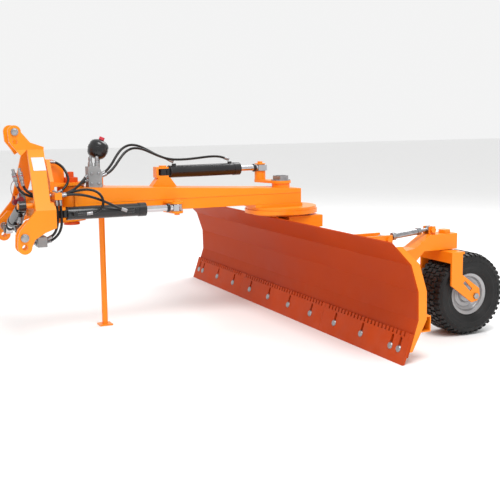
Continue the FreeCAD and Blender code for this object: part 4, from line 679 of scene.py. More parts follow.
def smooth_path(points: list[Vector], name: str, resolution: int = 8) -> list[Vector]:
    """Reads the smooth line of a NURBS spline that has the points as its control points.

    Args:
        points: Control points in the frame's metres.
        name: Name of the spare curve.
        resolution: Points of the line for each control point.

    Returns:
        The line's points.
    """
    curve = bpy.data.curves.new(name, "CURVE")
    curve.dimensions = "3D"
    spline = curve.splines.new("NURBS")
    spline.points.add(len(points) - 1)
    for spot, place in zip(spline.points, points):
        spot.co = (*place, 1.0)
    spline.order_u = 3
    spline.use_endpoint_u = True
    spline.resolution_u = resolution
    obj = bpy.data.objects.new(name, curve)
    mesh = bpy.data.meshes.new_from_object(obj)
    line = [vertex.co.copy() for vertex in mesh.vertices]
    bpy.data.meshes.remove(mesh)
    bpy.data.objects.remove(obj)
    bpy.data.curves.remove(curve)
    return line


def length_of(path: list[Vector]) -> float:
    """Returns the length of a path."""
    return sum((b - a).length for a, b in zip(path, path[1:]))


# ---- geometry nodes ----------------------------------------------------------------------------
class GeoKit:
    """Builds one geometry node tree with named inputs."""

    def __init__(self, name: str) -> None:
        """Starts a tree that takes and gives geometry."""
        self.tree = bpy.data.node_groups.new(name, "GeometryNodeTree")
        self.tree.interface.new_socket("Geometry", in_out="INPUT",
                                       socket_type="NodeSocketGeometry")
        self.tree.interface.new_socket("Geometry", in_out="OUTPUT",
                                       socket_type="NodeSocketGeometry")
        self.ids: dict[str, str] = {}
        self.given = self.tree.nodes.new("NodeGroupInput")
        self.result = self.tree.nodes.new("NodeGroupOutput")

    def take(self, name: str, kind: str, value: object = None) -> bpy.types.NodeSocket:
        """Adds a named input.

        Args:
            name: The input's name.
            kind: Its socket type.
            value: Its default value, if it has one.

        Returns:
            The socket that gives the input inside the tree.
        """
        socket = self.tree.interface.new_socket(name, in_out="INPUT", socket_type=kind)
        if value is not None:
            socket.default_value = value
        self.ids[name] = socket.identifier
        return self.given.outputs[name]

    def add(self, kind: str, links: dict[str, bpy.types.NodeSocket] | None = None,
            values: dict[str, object] | None = None, **settings: object) -> bpy.types.Node:
        """Adds a node with its links, input values and properties."""
        node = self.tree.nodes.new(kind)
        for name, value in settings.items():
            setattr(node, name, value)
        for name, value in (values or {}).items():
            node.inputs[name].default_value = value
        for name, source in (links or {}).items():
            self.tree.links.new(source, node.inputs[name])
        return node

    def times(self, source: bpy.types.NodeSocket, factor: float) -> bpy.types.NodeSocket:
        """Multiplies a number by a fixed factor."""
        node = self.add("ShaderNodeMath", operation="MULTIPLY")
        self.tree.links.new(source, node.inputs[0])
        node.inputs[1].default_value = factor
        return node.outputs[0]

    def close(self, geometry: bpy.types.NodeSocket) -> None:
        """Ends the tree: instances made real, the material set."""
        material = self.take("Material", "NodeSocketMaterial")
        real = self.add("GeometryNodeRealizeInstances", {"Geometry": geometry})
        dressed = self.add("GeometryNodeSetMaterial",
                           {"Geometry": real.outputs["Geometry"], "Material": material})
        self.tree.links.new(dressed.outputs["Geometry"], self.result.inputs["Geometry"])

    def run(self, name: str, source: bpy.types.Mesh, values: dict[str, object],
            material: bpy.types.Material) -> bpy.types.Object:
        """Runs the tree on a mesh and keeps the result as a plain object.

        Args:
            name: Name of the piece.
            source: The mesh that the tree takes.
            values: Values of the named inputs.
            material: The piece's material.

        Returns:
            The piece, with no modifier left on it.
        """
        carrier = as_object(name + "_source", source)
        modifier = carrier.modifiers.new("nodes", "NODES")
        modifier.node_group = self.tree
        for label, value in {**values, "Material": material}.items():
            modifier[self.ids[label]] = value
        bpy.context.view_layer.update()
        seen = carrier.evaluated_get(bpy.context.evaluated_depsgraph_get())
        mesh = bpy.data.meshes.new_from_object(seen)
        mesh.name = name
        bpy.data.objects.remove(carrier)
        return as_object(name, mesh)


class Repeats:
    """The geometry node trees that make what repeats."""

    def __init__(self) -> None:
        """Builds each tree once."""
        self.bolts = self.bolt_tree()
        self.beads = self.bead_tree()
        self.spokes = self.round_tree()

    @staticmethod
    def bolt_tree() -> GeoKit:
        """Builds the tree that stands a hexagon head and a washer on every point.

        Returns:
            The tree. Its points carry the vector attribute "aim".
        """
        kit = GeoKit("hexagon_bolts")
        radius = kit.take("Head Radius", "NodeSocketFloat", 0.01)
        height = kit.take("Head Height", "NodeSocketFloat", 0.008)
        head = kit.add("GeometryNodeMeshCylinder", {"Radius": radius, "Depth": height},
                       {"Vertices": 6})
        lift = kit.add("ShaderNodeCombineXYZ", {"Z": kit.times(height, 0.62)})
        raised = kit.add("GeometryNodeTransform", {"Geometry": head.outputs["Mesh"],
                                                   "Translation": lift.outputs[0]})
        washer = kit.add("GeometryNodeMeshCylinder",
                         {"Radius": kit.times(radius, 1.3), "Depth": kit.times(height, 0.24)},
                         {"Vertices": 20})
        stud = kit.add("GeometryNodeMeshCylinder",
                       {"Radius": kit.times(radius, 0.5), "Depth": kit.times(height, 2.9)},
                       {"Vertices": 14})
        whole = kit.add("GeometryNodeJoinGeometry")
        for part in (raised.outputs["Geometry"], washer.outputs["Mesh"], stud.outputs["Mesh"]):
            kit.tree.links.new(part, whole.inputs["Geometry"])
        heading = kit.add("GeometryNodeInputNamedAttribute", None, {"Name": "aim"},
                          data_type="FLOAT_VECTOR")
        turn = kit.add("FunctionNodeAlignRotationToVector", {"Vector": heading.outputs[0]},
                       axis="Z")
        spread = kit.add("GeometryNodeInstanceOnPoints",
                         {"Points": kit.given.outputs["Geometry"],
                          "Instance": whole.outputs["Geometry"],
                          "Rotation": turn.outputs["Rotation"]})
        kit.close(spread.outputs["Instances"])
        return kit

    @staticmethod
    def bead_tree() -> GeoKit:
        """Builds the tree that lays overlapping weld scales along the edges of a mesh.

        Returns:
            The tree.
        """
        kit = GeoKit("weld_scales")
        pitch = kit.take("Pitch", "NodeSocketFloat", 0.004)
        size = kit.take("Size", "NodeSocketFloat", 0.004)
        seed = kit.take("Seed", "NodeSocketInt", 3)
        line = kit.add("GeometryNodeMeshToCurve", {"Mesh": kit.given.outputs["Geometry"]})
        spots = kit.add("GeometryNodeCurveToPoints", {"Curve": line.outputs["Curve"],
                                                      "Length": pitch}, mode="LENGTH")
        scale = kit.add("GeometryNodeMeshIcoSphere", {"Radius": size}, {"Subdivisions": 1})
        flat = kit.add("GeometryNodeTransform", {"Geometry": scale.outputs["Mesh"]},
                       {"Scale": (1.0, 1.0, 0.72)})
        vary = kit.add("FunctionNodeRandomValue", {"Seed": seed}, data_type="FLOAT")
        vary.inputs[2].default_value = 0.85
        vary.inputs[3].default_value = 1.12
        laid = kit.add("GeometryNodeInstanceOnPoints",
                       {"Points": spots.outputs["Points"], "Instance": flat.outputs["Geometry"],
                        "Rotation": spots.outputs["Rotation"], "Scale": vary.outputs[1]})
        kit.close(laid.outputs["Instances"])
        return kit

    @staticmethod
    def round_tree() -> GeoKit:
        """Builds the tree that copies its geometry evenly round the axis of a wheel.

        Returns:
            The tree; its axis runs along Y through the named centre.
        """
        kit = GeoKit("round_copies")
        count = kit.take("Count", "NodeSocketInt", 12)
        middle = kit.take("Centre", "NodeSocketVector", (0.0, 0.0, 0.0))
        phase = kit.take("Phase", "NodeSocketFloat", 0.0)
        points = kit.add("GeometryNodePoints", {"Count": count})
        index = kit.add("GeometryNodeInputIndex")
        share = kit.add("ShaderNodeMath", operation="DIVIDE")
        kit.tree.links.new(index.outputs[0], share.inputs[0])
        kit.tree.links.new(count, share.inputs[1])
        angle = kit.add("ShaderNodeMath", operation="MULTIPLY_ADD")
        kit.tree.links.new(share.outputs[0], angle.inputs[0])
        angle.inputs[1].default_value = 2 * math.pi
        kit.tree.links.new(phase, angle.inputs[2])
        spin = kit.add("ShaderNodeCombineXYZ", {"Y": angle.outputs[0]})
        copies = kit.add("GeometryNodeInstanceOnPoints",
                         {"Points": points.outputs["Points"],
                          "Instance": kit.given.outputs["Geometry"],
                          "Rotation": spin.outputs[0]})
        moved = kit.add("GeometryNodeTransform", {"Geometry": copies.outputs["Instances"],
                                                  "Translation": middle})
        kit.close(moved.outputs["Geometry"])
        return kit


# ---- shared workshop ---------------------------------------------------------------------------
class Workshop:
    """Holds the paints and the repeating trees, and finishes each piece."""

    def __init__(self) -> None:
        """Builds the paints and the trees."""
        self.paints = Paints()
        self.repeats = Repeats()
        self.count = 0

    def finish(self, obj: bpy.types.Object, body: str, slot: str, paint: Finish | str,
               replaced: tuple[str, ...] = ()) -> bpy.types.Object:
        """Paints a piece and fastens it to a body.

        Args:
            obj: The piece.
            body: The CAD body that it rides on.
            slot: The record's material slot; not used.
            paint: Its finish.
            replaced: CAD nodes that it stands for.

        Returns:
            The same piece.
        """
        obj.data.materials.clear()
        obj.data.materials.append(self.paints[paint])
        if replaced:
            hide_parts(*replaced)
        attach(obj, body)
        self.count += 1
        LOG.info("piece %s rides on %s", obj.name, body)
        return obj

    def dress(self, paint: Finish, *nodes: str) -> None:
        """Gives CAD nodes their material."""
        for node in nodes:
            obj = frame["nodes"][node]
            for material_slot in obj.material_slots:
                material_slot.material = self.paints[paint]
            if not obj.material_slots:
                obj.data.materials.append(self.paints[paint])

    def bolts(self, name: str, spots: list[tuple[Vector, Vector]], radius: float, height: float,
              body: str, paint: Finish = ZINC) -> bpy.types.Object:
        """Makes a set of hexagon heads with washers.

        Args:
            name: Name of the piece.
            spots: The place under each head and the way that it points.
            radius: Distance of a head's corners from its axis, in millimetres.
            height: Height of a head in millimetres.
            body: The body that they ride on.
            paint: Their finish.

        Returns:
            The piece.
        """
        mesh = bpy.data.meshes.new(name + "_spots")
        mesh.from_pydata([tuple(place) for place, heading in spots], [], [])
        aims = mesh.attributes.new("aim", "FLOAT_VECTOR", "POINT")
        for item, (place, heading) in zip(aims.data, spots):
            item.vector = heading.normalized()
        obj = self.repeats.bolts.run(name, mesh, {"Head Radius": radius * MM,
                                                  "Head Height": height * MM},
                                     self.paints[paint])
        return self.finish(obj, body, "zinc_steel", paint)

    def welds(self, name: str, lines: list[list[Vector]], body: str, size: float = 4.0,
              paint: Finish = ORANGE, slot: str = "orange_paint") -> bpy.types.Object:
        """Lays painted weld beads along lines.

        Args:
            name: Name of the piece.
            lines: Each bead's points in the frame's metres.
            body: The body that they ride on.
            size: Radius of a bead's scales in millimetres.
            paint: Their finish.
            slot: The record's material slot.

        Returns:
            The piece.
        """
        points: list[Point] = []
        edges: list[tuple[int, int]] = []
        for line in lines:
            first = len(points)
            points += [tuple(place) for place in line]
            edges += [(i, i + 1) for i in range(first, len(points) - 1)]
        mesh = bpy.data.meshes.new(name + "_lines")
        mesh.from_pydata(points, edges, [])
        obj = self.repeats.beads.run(name, mesh, {"Pitch": size * 0.9 * MM, "Size": size * MM,
                                                  "Seed": 3}, self.paints[paint])
        obj.data.shade_smooth()
        return self.finish(obj, body, slot, paint)


def circle(middle: Vector, axis: Vector, radius: float, steps: int = 48) -> list[Vector]:
    """Returns a closed line of points round an axis; the radius is in millimetres."""
    place = aim(middle, axis)
    turns = [2 * math.pi * i / steps for i in range(steps + 1)]
    return [place @ Vector((math.cos(a) * radius * MM, math.sin(a) * radius * MM, 0))
            for a in turns]


# ---- studio ------------------------------------------------------------------------------------
@dataclass
class Studio:
    """Camera, lamps, floor and backdrop."""

    eye: Point = (-2491.4, -4867.2, 1206.7)
    yaw: float = 0.438
    pitch: float = 0.149
    roll: float = 0.01
    lens: float = 64.25
    floor_size: float = 60.0
    sensor: float = 36.0
    far_clip: float = 200.0
    sky: float = 0.9
    target: Point = (-300.0, -200.0, 500.0)
    key_place: Point = (-0.5, -3.4, 5.5)
    key_power: float = 300.0
    rim_place: Point = (3.5, 2.5, 4.5)
    rim_power: float = 150.0
    lamp_size: float = 3.0

    def add_camera(self) -> None:
        """Places the camera and makes it the scene's own."""
        forward = Vector((math.sin(self.yaw) * math.cos(self.pitch),
                          math.cos(self.yaw) * math.cos(self.pitch), -math.sin(self.pitch)))
        right = Vector((math.cos(self.yaw), -math.sin(self.yaw), 0))
        down = forward.cross(right)
        level = right * math.cos(self.roll) + down * math.sin(self.roll)
        plumb = down * math.cos(self.roll) - right * math.sin(self.roll)
        data = bpy.data.cameras.new("camera")
        data.lens = self.lens
        data.sensor_width = self.sensor
        data.clip_end = self.far_clip
        camera = bpy.data.objects.new("camera", data)
        rotation = Matrix((level, -plumb, -forward)).transposed().to_4x4()
        camera.matrix_world = Matrix.Translation(at(*self.eye)) @ rotation
        bpy.context.scene.collection.objects.link(camera)
        bpy.context.scene.camera = camera

    @staticmethod
    def add_lamp(name: str, place: Vector, target: Vector, size: float, power: float) -> None:
        """Adds a square area lamp.

        Args:
            name: The lamp's name.
            place: Where it hangs, in metres.
            target: What it points at.
            size: Length of its side in metres.
            power: Its power in watts.
        """
        data = bpy.data.lights.new(name, "AREA")
        data.size = size
        data.energy = power
        lamp = bpy.data.objects.new(name, data)
        heading = (target - place).to_track_quat("-Z", "Y")
        lamp.matrix_world = Matrix.Translation(place) @ heading.to_matrix().to_4x4()
        bpy.context.scene.collection.objects.link(lamp)

    def build(self) -> None:
        """Builds the camera, the lamps, the world's light and the pale floor."""
        self.add_camera()
        middle = at(*self.target)
        for name, place, power in (("key", self.key_place, self.key_power),
                                   ("rim", self.rim_place, self.rim_power)):
            self.add_lamp(name, middle + Vector(place), middle, self.lamp_size, power)
        bpy.context.scene.view_settings.view_transform = "Standard"
        world = bpy.data.worlds.new("studio")
        world.use_nodes = True
        back = world.node_tree.nodes["Background"]
        back.inputs["Color"].default_value = (1, 1, 1, 1)
        back.inputs["Strength"].default_value = self.sky
        bpy.context.scene.world = world
        form = bmesh.new()
        half = self.floor_size / 2
        form.faces.new([form.verts.new(spot) for spot in
                        ((-half, -half, 0), (half, -half, 0), (half, half, 0), (-half, half, 0))])
        floor = settle("floor", form, Shading.FLAT)
        material, kit, surface = blank_material("pale_floor")
        tone = kit.mix(kit.noise(3.0, 4.0), (0.86, 0.86, 0.86, 1), (0.89, 0.89, 0.885, 1))
        kit.link(tone, surface.inputs["Base Color"])
        surface.inputs["Roughness"].default_value = 0.75
        floor.data.materials.append(material)


# ---- hoses -------------------------------------------------------------------------------------
@dataclass(frozen=True)
class HoseRun:
    """One hydraulic hose: its route, what it joins and the CAD node that it stands for."""

    name: str
    node: str
    start_body: str
    end_body: str
    route: tuple[Point, ...]


HOSES = (
    HoseRun("supply_hose_front_1", "supply_hoses_front", "hitch_frame", "tilt_head", (
        (-1612, -98, 880), (-1606, -104, 847), (-1586, -115, 819), (-1555, -130, 802),
        (-1519, -146, 797), (-1483, -156, 800), (-1450, -160, 803))),
    HoseRun("supply_hose_front_2", "supply_hoses_front", "hitch_frame", "tilt_head", (
        (-1586, -124, 884), (-1581, -128, 852), (-1563, -138, 825), (-1534, -152, 808),
        (-1504, -168, 802), (-1477, -178, 802), (-1450, -182, 804))),
    HoseRun("supply_hose_rear_1", "supply_hoses_rear", "tilt_head", "beam", (
        (-1407, -160, 803), (-1376, -160, 806), (-1343, -156, 815), (-1312, -146, 830),
        (-1284, -130, 847), (-1254, -104, 862), (-1224, -76, 869))),
    HoseRun("supply_hose_rear_2", "supply_hoses_rear", "tilt_head", "beam", (
        (-1407, -182, 803), (-1375, -182, 809), (-1341, -176, 821), (-1309, -162, 837),
        (-1280, -140, 856), (-1250, -106, 878), (-1224, -74, 892))),
    HoseRun("turn_hose_1", "turn_hoses", "beam", "turn_barrel", (
        (-1139, -36, 894), (-1108, -34, 908), (-1072, -28, 946), (-1040, -16, 992),
        (-1004, -2, 1032), (-954, 14, 1054), (-894, 30, 1048), (-834, 44, 1020),
        (-776, 56, 990), (-718, 64, 968), (-674, 68, 948))),
    HoseRun("turn_hose_2", "turn_hoses", "beam", "turn_barrel", (
        (-1139, -60, 888), (-1104, -58, 898), (-1064, -50, 930), (-1028, -36, 974),
        (-990, -20, 1014), (-940, -2, 1036), (-880, 16, 1030), (-816, 32, 1004),
        (-750, 46, 976), (-680, 58, 960), (-600, 68, 958), (-520, 78, 963), (-440, 88, 970),
        (-376, 98, 970), (-334, 106, 961), (-301, 110, 949))),
    HoseRun("swing_hose_1", "swing_hoses", "tilt_head", "swing_barrel", (
        (-1407, -204, 803), (-1374, -206, 812), (-1336, -213, 822), (-1294, -224, 831),
        (-1252, -238, 831), (-1216, -251, 817), (-1194, -261, 788), (-1191, -266, 753),
        (-1208, -265, 722), (-1242, -260, 708), (-1279, -256, 706))),
    HoseRun("swing_hose_2", "swing_hoses", "tilt_head", "swing_barrel", (
        (-1407, -226, 803), (-1372, -226, 808), (-1330, -228, 808), (-1286, -232, 802),
        (-1240, -236, 789), (-1194, -240, 771), (-1150, -246, 750), (-1106, -252, 727),
        (-1063, -256, 710))),
    HoseRun("guard_hose", "swing_hoses", "tilt_head", "tilt_head", (
        (-1416, -30, 972), (-1391, -32, 971), (-1367, -34, 960), (-1347, -40, 941),
        (-1335, -52, 917), (-1330, -72, 896), (-1333, -96, 879), (-1343, -118, 862),
        (-1360, -133, 842), (-1382, -138, 823), (-1405, -138, 810))),
    HoseRun("tilt_hose_1", "tilt_hoses", "tilt_head", "hitch_frame", (
        (-1438, -251, 784), (-1436, -254, 738), (-1435, -254, 690), (-1438, -248, 645),
        (-1446, -232, 613), (-1461, -212, 590), (-1481, -197, 578))),
    HoseRun("tilt_hose_2", "tilt_hoses", "tilt_head", "hitch_frame", (
        (-1419, -251, 784), (-1417, -255, 738), (-1414, -254, 690), (-1414, -244, 646),
        (-1422, -225, 610), (-1440, -200, 580), (-1463, -180, 562), (-1481, -168, 557))),
    HoseRun("tilt_short_hose_1", "tilt_short_hoses", "hitch_frame", "tilt_barrel", (
        (-1537, -190, 575), (-1563, -192, 577), (-1587, -194, 587), (-1604, -197, 604),
        (-1614, -200, 627), (-1618, -203, 652), (-1618, -204, 676), (-1616, -202, 698))),
    HoseRun("tilt_short_hose_2", "tilt_short_hoses", "hitch_frame", "tilt_barrel", (
        (-1537, -160, 554), (-1559, -159, 554), (-1581, -151, 558), (-1599, -136, 566),
        (-1610, -116, 578), (-1615, -93, 592), (-1615, -70, 610), (-1617, -45, 630))),
)


@dataclass
class HoseSet:
    """Every hydraulic hose with its crimped sleeves."""

    shop: Workshop
    radius: float = 7.0
    sleeve_radius: float = 9.4
    sleeve_length: float = 30.0

    def build(self) -> None:
        """Makes each hose and its two sleeves."""
        for run in HOSES:
            self.build_hose(run)

    def build_hose(self, run: HoseRun) -> None:
        """Args:
            run: The hose's route and what it joins.
        """
        path = smooth_path([at(*spot) for spot in run.route], run.name)
        form = bmesh.new()
        add_tube(form, path, self.radius)
        hose = as_piece(run.name, form, Shading.SMOOTH)
        hose.data.materials.append(self.shop.paints["hose_rubber"])
        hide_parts(run.node)
        if run.start_body == run.end_body:
            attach(hose, run.start_body)
        else:
            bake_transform(hose)
        sleeves = [self.sleeve(run.name + "_sleeve_start", path[0], path[2] - path[0],
                               run.start_body),
                   self.sleeve(run.name + "_sleeve_end", path[-1], path[-3] - path[-1],
                               run.end_body)]
        LOG.info("hose %s is %.0f mm long", run.name, length_of(path) / MM)

    def sleeve(self, name: str, origin: Vector, axis: Vector, body: str) -> bpy.types.Object:
        """Makes a crimped sleeve at a hose's end.

        Args:
            name: Name of the piece.
            origin: The hose's end point.
            axis: Direction from the end into the hose.
            body: The body that it rides on.

        Returns:
            The piece.
        """
        form = bmesh.new()
        r, run = self.sleeve_radius, self.sleeve_length
        profile = [(6.0, -2.5), (r - 0.6, -2.5), (r, -1.5), (r, 4.0), (r - 1.1, 5.0),
                   (r - 1.1, 6.2), (r, 7.2), (r, 12.0), (r - 0.9, 12.9), (r - 0.9, 14.0),
                   (r, 14.9), (r, 19.5), (r - 0.9, 20.4), (r - 0.9, 21.5), (r, 22.4),
                   (r, run - 2.0), (r - 1.4, run), (6.0, run)]
        add_lathe(form, profile, aim(origin, axis), 24)
        return self.shop.finish(settle(name, form), body, "zinc_steel", ZINC)


# ---- hitch -------------------------------------------------------------------------------------
@dataclass
class Hitch:
    """The three-point frame's couplers, caps, label and lock valve details."""

    shop: Workshop
    coupler_ends: tuple[tuple[Point, Point], ...] = (
        ((-1612, -98, 880), (-1606, -104, 847)), ((-1586, -124, 884), (-1581, -128, 852)))
    tether_radius: float = 1.5
    label_x: tuple[float, float] = (-1531.0, -1465.0)
    label_z: tuple[float, float] = (935.0, 1001.0)
    slope_low: tuple[float, float] = (-340.0, 742.0)
    slope_high: tuple[float, float] = (-72.0, 1042.0)
    pin_ends: tuple[tuple[float, float, float, float], ...] = (
        (-1603.0, -82.0, 1137.0, 12.5), (-1626.0, -350.0, 608.0, 14.0))
    tether_routes: tuple[tuple[Point, ...], ...] = (
        ((-1624, -106, 884), (-1637, -113, 874), (-1644, -117, 852), (-1643, -117, 826),
         (-1634, -114, 806), (-1629, -112, 792)),
        ((-1592, -136, 892), (-1602, -146, 882), (-1610, -148, 862), (-1611, -143, 842),
         (-1605, -134, 824), (-1602, -130, 808)))

    def on_slope(self, x: float, z: float) -> Vector:
        """Returns the place on the left plate's sloping face at a distance back and a height."""
        share = (z - self.slope_low[1]) / (self.slope_high[1] - self.slope_low[1])
        return at(x, self.slope_low[0] + share * (self.slope_high[0] - self.slope_low[0]), z)

    def slope_normal(self) -> Vector:
        """Returns the direction that the sloping face looks in."""
        rise = self.slope_high[1] - self.slope_low[1]
        run = self.slope_high[0] - self.slope_low[0]
        return Vector((0.0, -rise, run)).normalized()

    def build(self) -> None:
        """Dresses the frame's nodes and makes its small parts."""
        self.shop.dress(ORANGE, "hitch_side_plate_left", "hitch_side_plate_right",
                        "hitch_inner_lugs", "hitch_cross_plates", "tilt_housing")
        self.shop.dress(ZINC, "top_link_pin", "lower_link_pins", "linch_pins")
        self.shop.dress(CAST_ALLOY, "check_valve")
        self.shop.dress(CAP_RED, "dust_caps")
        self.build_couplers()
        self.build_label()
        self.build_pin_heads()
        self.build_tethers()

    def build_label(self) -> None:
        """Makes the blank plate on the left side plate's sloping face."""
        front, back = self.label_x
        low, high = self.label_z
        form = bmesh.new()
        slant = self.slope_normal()
        middle = self.on_slope((front + back) / 2, (low + high) / 2) + slant * (0.9 * MM)
        across = Vector((1.0, 0.0, 0.0))
        up = slant.cross(across).normalized()
        turn = Matrix((across, up, slant)).transposed().to_4x4()
        height = (self.on_slope(front, high) - self.on_slope(front, low)).length / MM
        add_slab(form, (back - front, height, 1.4), Matrix.Translation(middle) @ turn, 0.5)
        self.shop.finish(settle("blank_label", form), "hitch_frame", "zinc_steel", PLATE_WHITE)

    def build_pin_heads(self) -> None:
        """Adds a chamfered hexagon head and a washer at the seen end of each linkage pin."""
        form = bmesh.new()
        for x, y, z, radius in self.pin_ends:
            place = aim(at(x, y, z), LEFT)
            add_lathe(form, [(radius * 1.35, -0.5), (radius * 1.45, 0.3), (radius * 1.45, 2.4),
                             (radius * 1.35, 3.0)], place, 32)
            add_prism(form, 6, radius * 1.15, 2.8, 8.6, place)
        self.shop.finish(settle("pin_heads", form), "hitch_frame", "zinc_steel", ZINC)

    def build_tethers(self) -> None:
        """Makes the thin cords that hold the dust caps to their couplers."""
        for number, route in enumerate(self.tether_routes, 1):
            path = smooth_path([at(*spot) for spot in route], "tether")
            form = bmesh.new()
            add_tube(form, path, self.tether_radius, 8)
            tether = settle(f"cap_tether_{number}", form)
            self.shop.finish(tether, "hitch_frame", "cap_plastic", CAP_RED)

    def build_couplers(self) -> None:
        """Makes the two push-on couplers with their knurled sleeves and rose rings."""
        form, rings = bmesh.new(), bmesh.new()
        for start, inner in self.coupler_ends:
            place = aim(at(*start), at(*start) - at(*inner))
            add_prism(form, 6, 12.5, 0.0, 16.0, place)
            add_lathe(form, [(8.0, 15.0), (11.0, 16.0), (11.0, 18.0), (13.4, 19.0), (13.4, 22.0),
                             (12.5, 23.0), (12.5, 27.0), (13.4, 28.0), (13.4, 31.0), (12.5, 32.0),
                             (12.5, 36.0), (13.4, 37.0), (13.4, 42.0), (12.0, 44.0), (8.6, 44.5),
                             (8.6, 52.0), (7.4, 53.0), (7.4, 56.0), (8.6, 57.0), (8.6, 64.0),
                             (7.0, 66.0), (3.0, 66.0), (2.5, 62.0), (0.0, 62.0)], place, 32)
            add_ring(rings, [(12.8, 24.2), (14.2, 24.4), (14.2, 26.6), (12.8, 26.8)], place, 32)
        self.shop.finish(settle("coupler_bodies", form), "hitch_frame", "zinc_steel", ZINC,
                         ("quick_couplers",))
        self.shop.finish(settle("coupler_rings", rings), "hitch_frame", "cap_plastic", CAP_PINK,
                         ("quick_couplers",))


# ---- tilt head and cylinders -------------------------------------------------------------------
@dataclass(frozen=True)
class Ram:
    """One hydraulic cylinder's axis and sizes."""

    name: str
    base: Point
    end: Point
    barrel_from: float
    barrel_to: float
    radius: float
    barrel_body: str


RAMS = (
    Ram("turn", (-740, 60, 890), (-66.4, 137.2, 890), 40, 503, 36, "turn_barrel"),
    Ram("swing", (-1411, -200, 706), (-751.6, -192.3, 706), 36, 461, 35, "swing_barrel"),
    Ram("tilt", (-1616, -250, 760), (-1616, 164.2, 600.3), 32, 294, 28, "tilt_barrel"),
)


@dataclass
class Cylinders:
    """The three hydraulic cylinders."""

    shop: Workshop

    def build(self) -> None:
        """Dresses the barrels and rods and adds the gland rings and weld beads."""
        for ram in RAMS:
            self.shop.dress(BLACK_PAINT, ram.name + "_cylinder_barrel")
            self.shop.dress(CHROME, ram.name + "_cylinder_rod")
            self.add_eye(ram)
            self.add_gland(ram)

    def add_eye(self, ram: Ram) -> None:
        """Adds the black forged collar where the rod screws into its eye.

        Args:
            ram: The cylinder.
        """
        origin, end = at(*ram.base), at(*ram.end)
        heading = (end - origin).normalized()
        form = bmesh.new()
        add_ring(form, [(16.0, -62.0), (21.0, -61.0), (24.0, -58.0), (24.5, -50.0), (23.0, -44.0),
                        (16.0, -43.0)], aim(end, heading), 32)
        self.shop.finish(settle(ram.name + "_rod_collar", form), ram.name + "_rod", "black_paint",
                         BLACK_PAINT)

    def add_gland(self, ram: Ram) -> None:
        """Adds the gland nut's grooved ring and wiper at the barrel's open end.

        Args:
            ram: The cylinder.
        """
        origin = at(*ram.base)
        heading = (at(*ram.end) - origin).normalized()
        place = aim(origin, heading)
        form = bmesh.new()
        r, end = ram.radius, ram.barrel_to
        add_ring(form, [(r - 4, end - 26), (r + 1.6, end - 25), (r + 2.6, end - 23.5),
                        (r + 2.6, end - 16), (r + 1.2, end - 15), (r + 1.2, end - 12.5),
                        (r + 2.6, end - 11.5), (r + 2.6, end - 4), (r + 1, end - 2),
                        (r - 4, end - 2)], place, 48)
        self.shop.finish(settle(ram.name + "_gland_ring", form), ram.barrel_body, "black_paint",
                         BLACK_PAINT)
        beads = [circle(origin + heading * ((ram.barrel_from + 1.5) * MM), heading, r - 1.5)]
        self.shop.welds(ram.name + "_barrel_weld", beads, ram.barrel_body, 3.0, BLACK_PAINT,
                        "black_paint")


@dataclass
class TiltHead:
    """The tilting head between the hitch and the beam."""

    shop: Workshop
    clamp_place: tuple[float, float] = (-1429.0, 822.2)
    clamp_bolts: tuple[float, ...] = (-149.0, -171.0, -193.0, -215.0, -240.0)
    yoke_x: float = -1417.0
    yoke_half_width: float = 70.0
    yoke_heights: tuple[float, float] = (664.5, 859.5)

    def build(self) -> None:
        """Dresses its nodes and adds its bolts and welds."""
        self.shop.dress(ORANGE, "tilt_plate", "swing_yoke")
        # The swing pin block gets the orange enamel darkened and reddened with painted shade.
        self.shop.dress(RED_ORANGE_PAINTED_SHADE, "swing_pin")
        self.shop.dress(DARK_STEEL, "tilt_shaft")
        self.shop.dress(ZINC, "tilt_nut")
        x, z = self.clamp_place
        spots = [(at(x, y, z), UP) for y in self.clamp_bolts]
        self.shop.bolts("hose_clamp_bolts", spots, 5.5, 4.5, "tilt_head")
        half = self.yoke_half_width
        self.shop.welds("yoke_welds", [[at(self.yoke_x, -half, z), at(self.yoke_x, half, z)]
                                       for z in self.yoke_heights], "tilt_head")


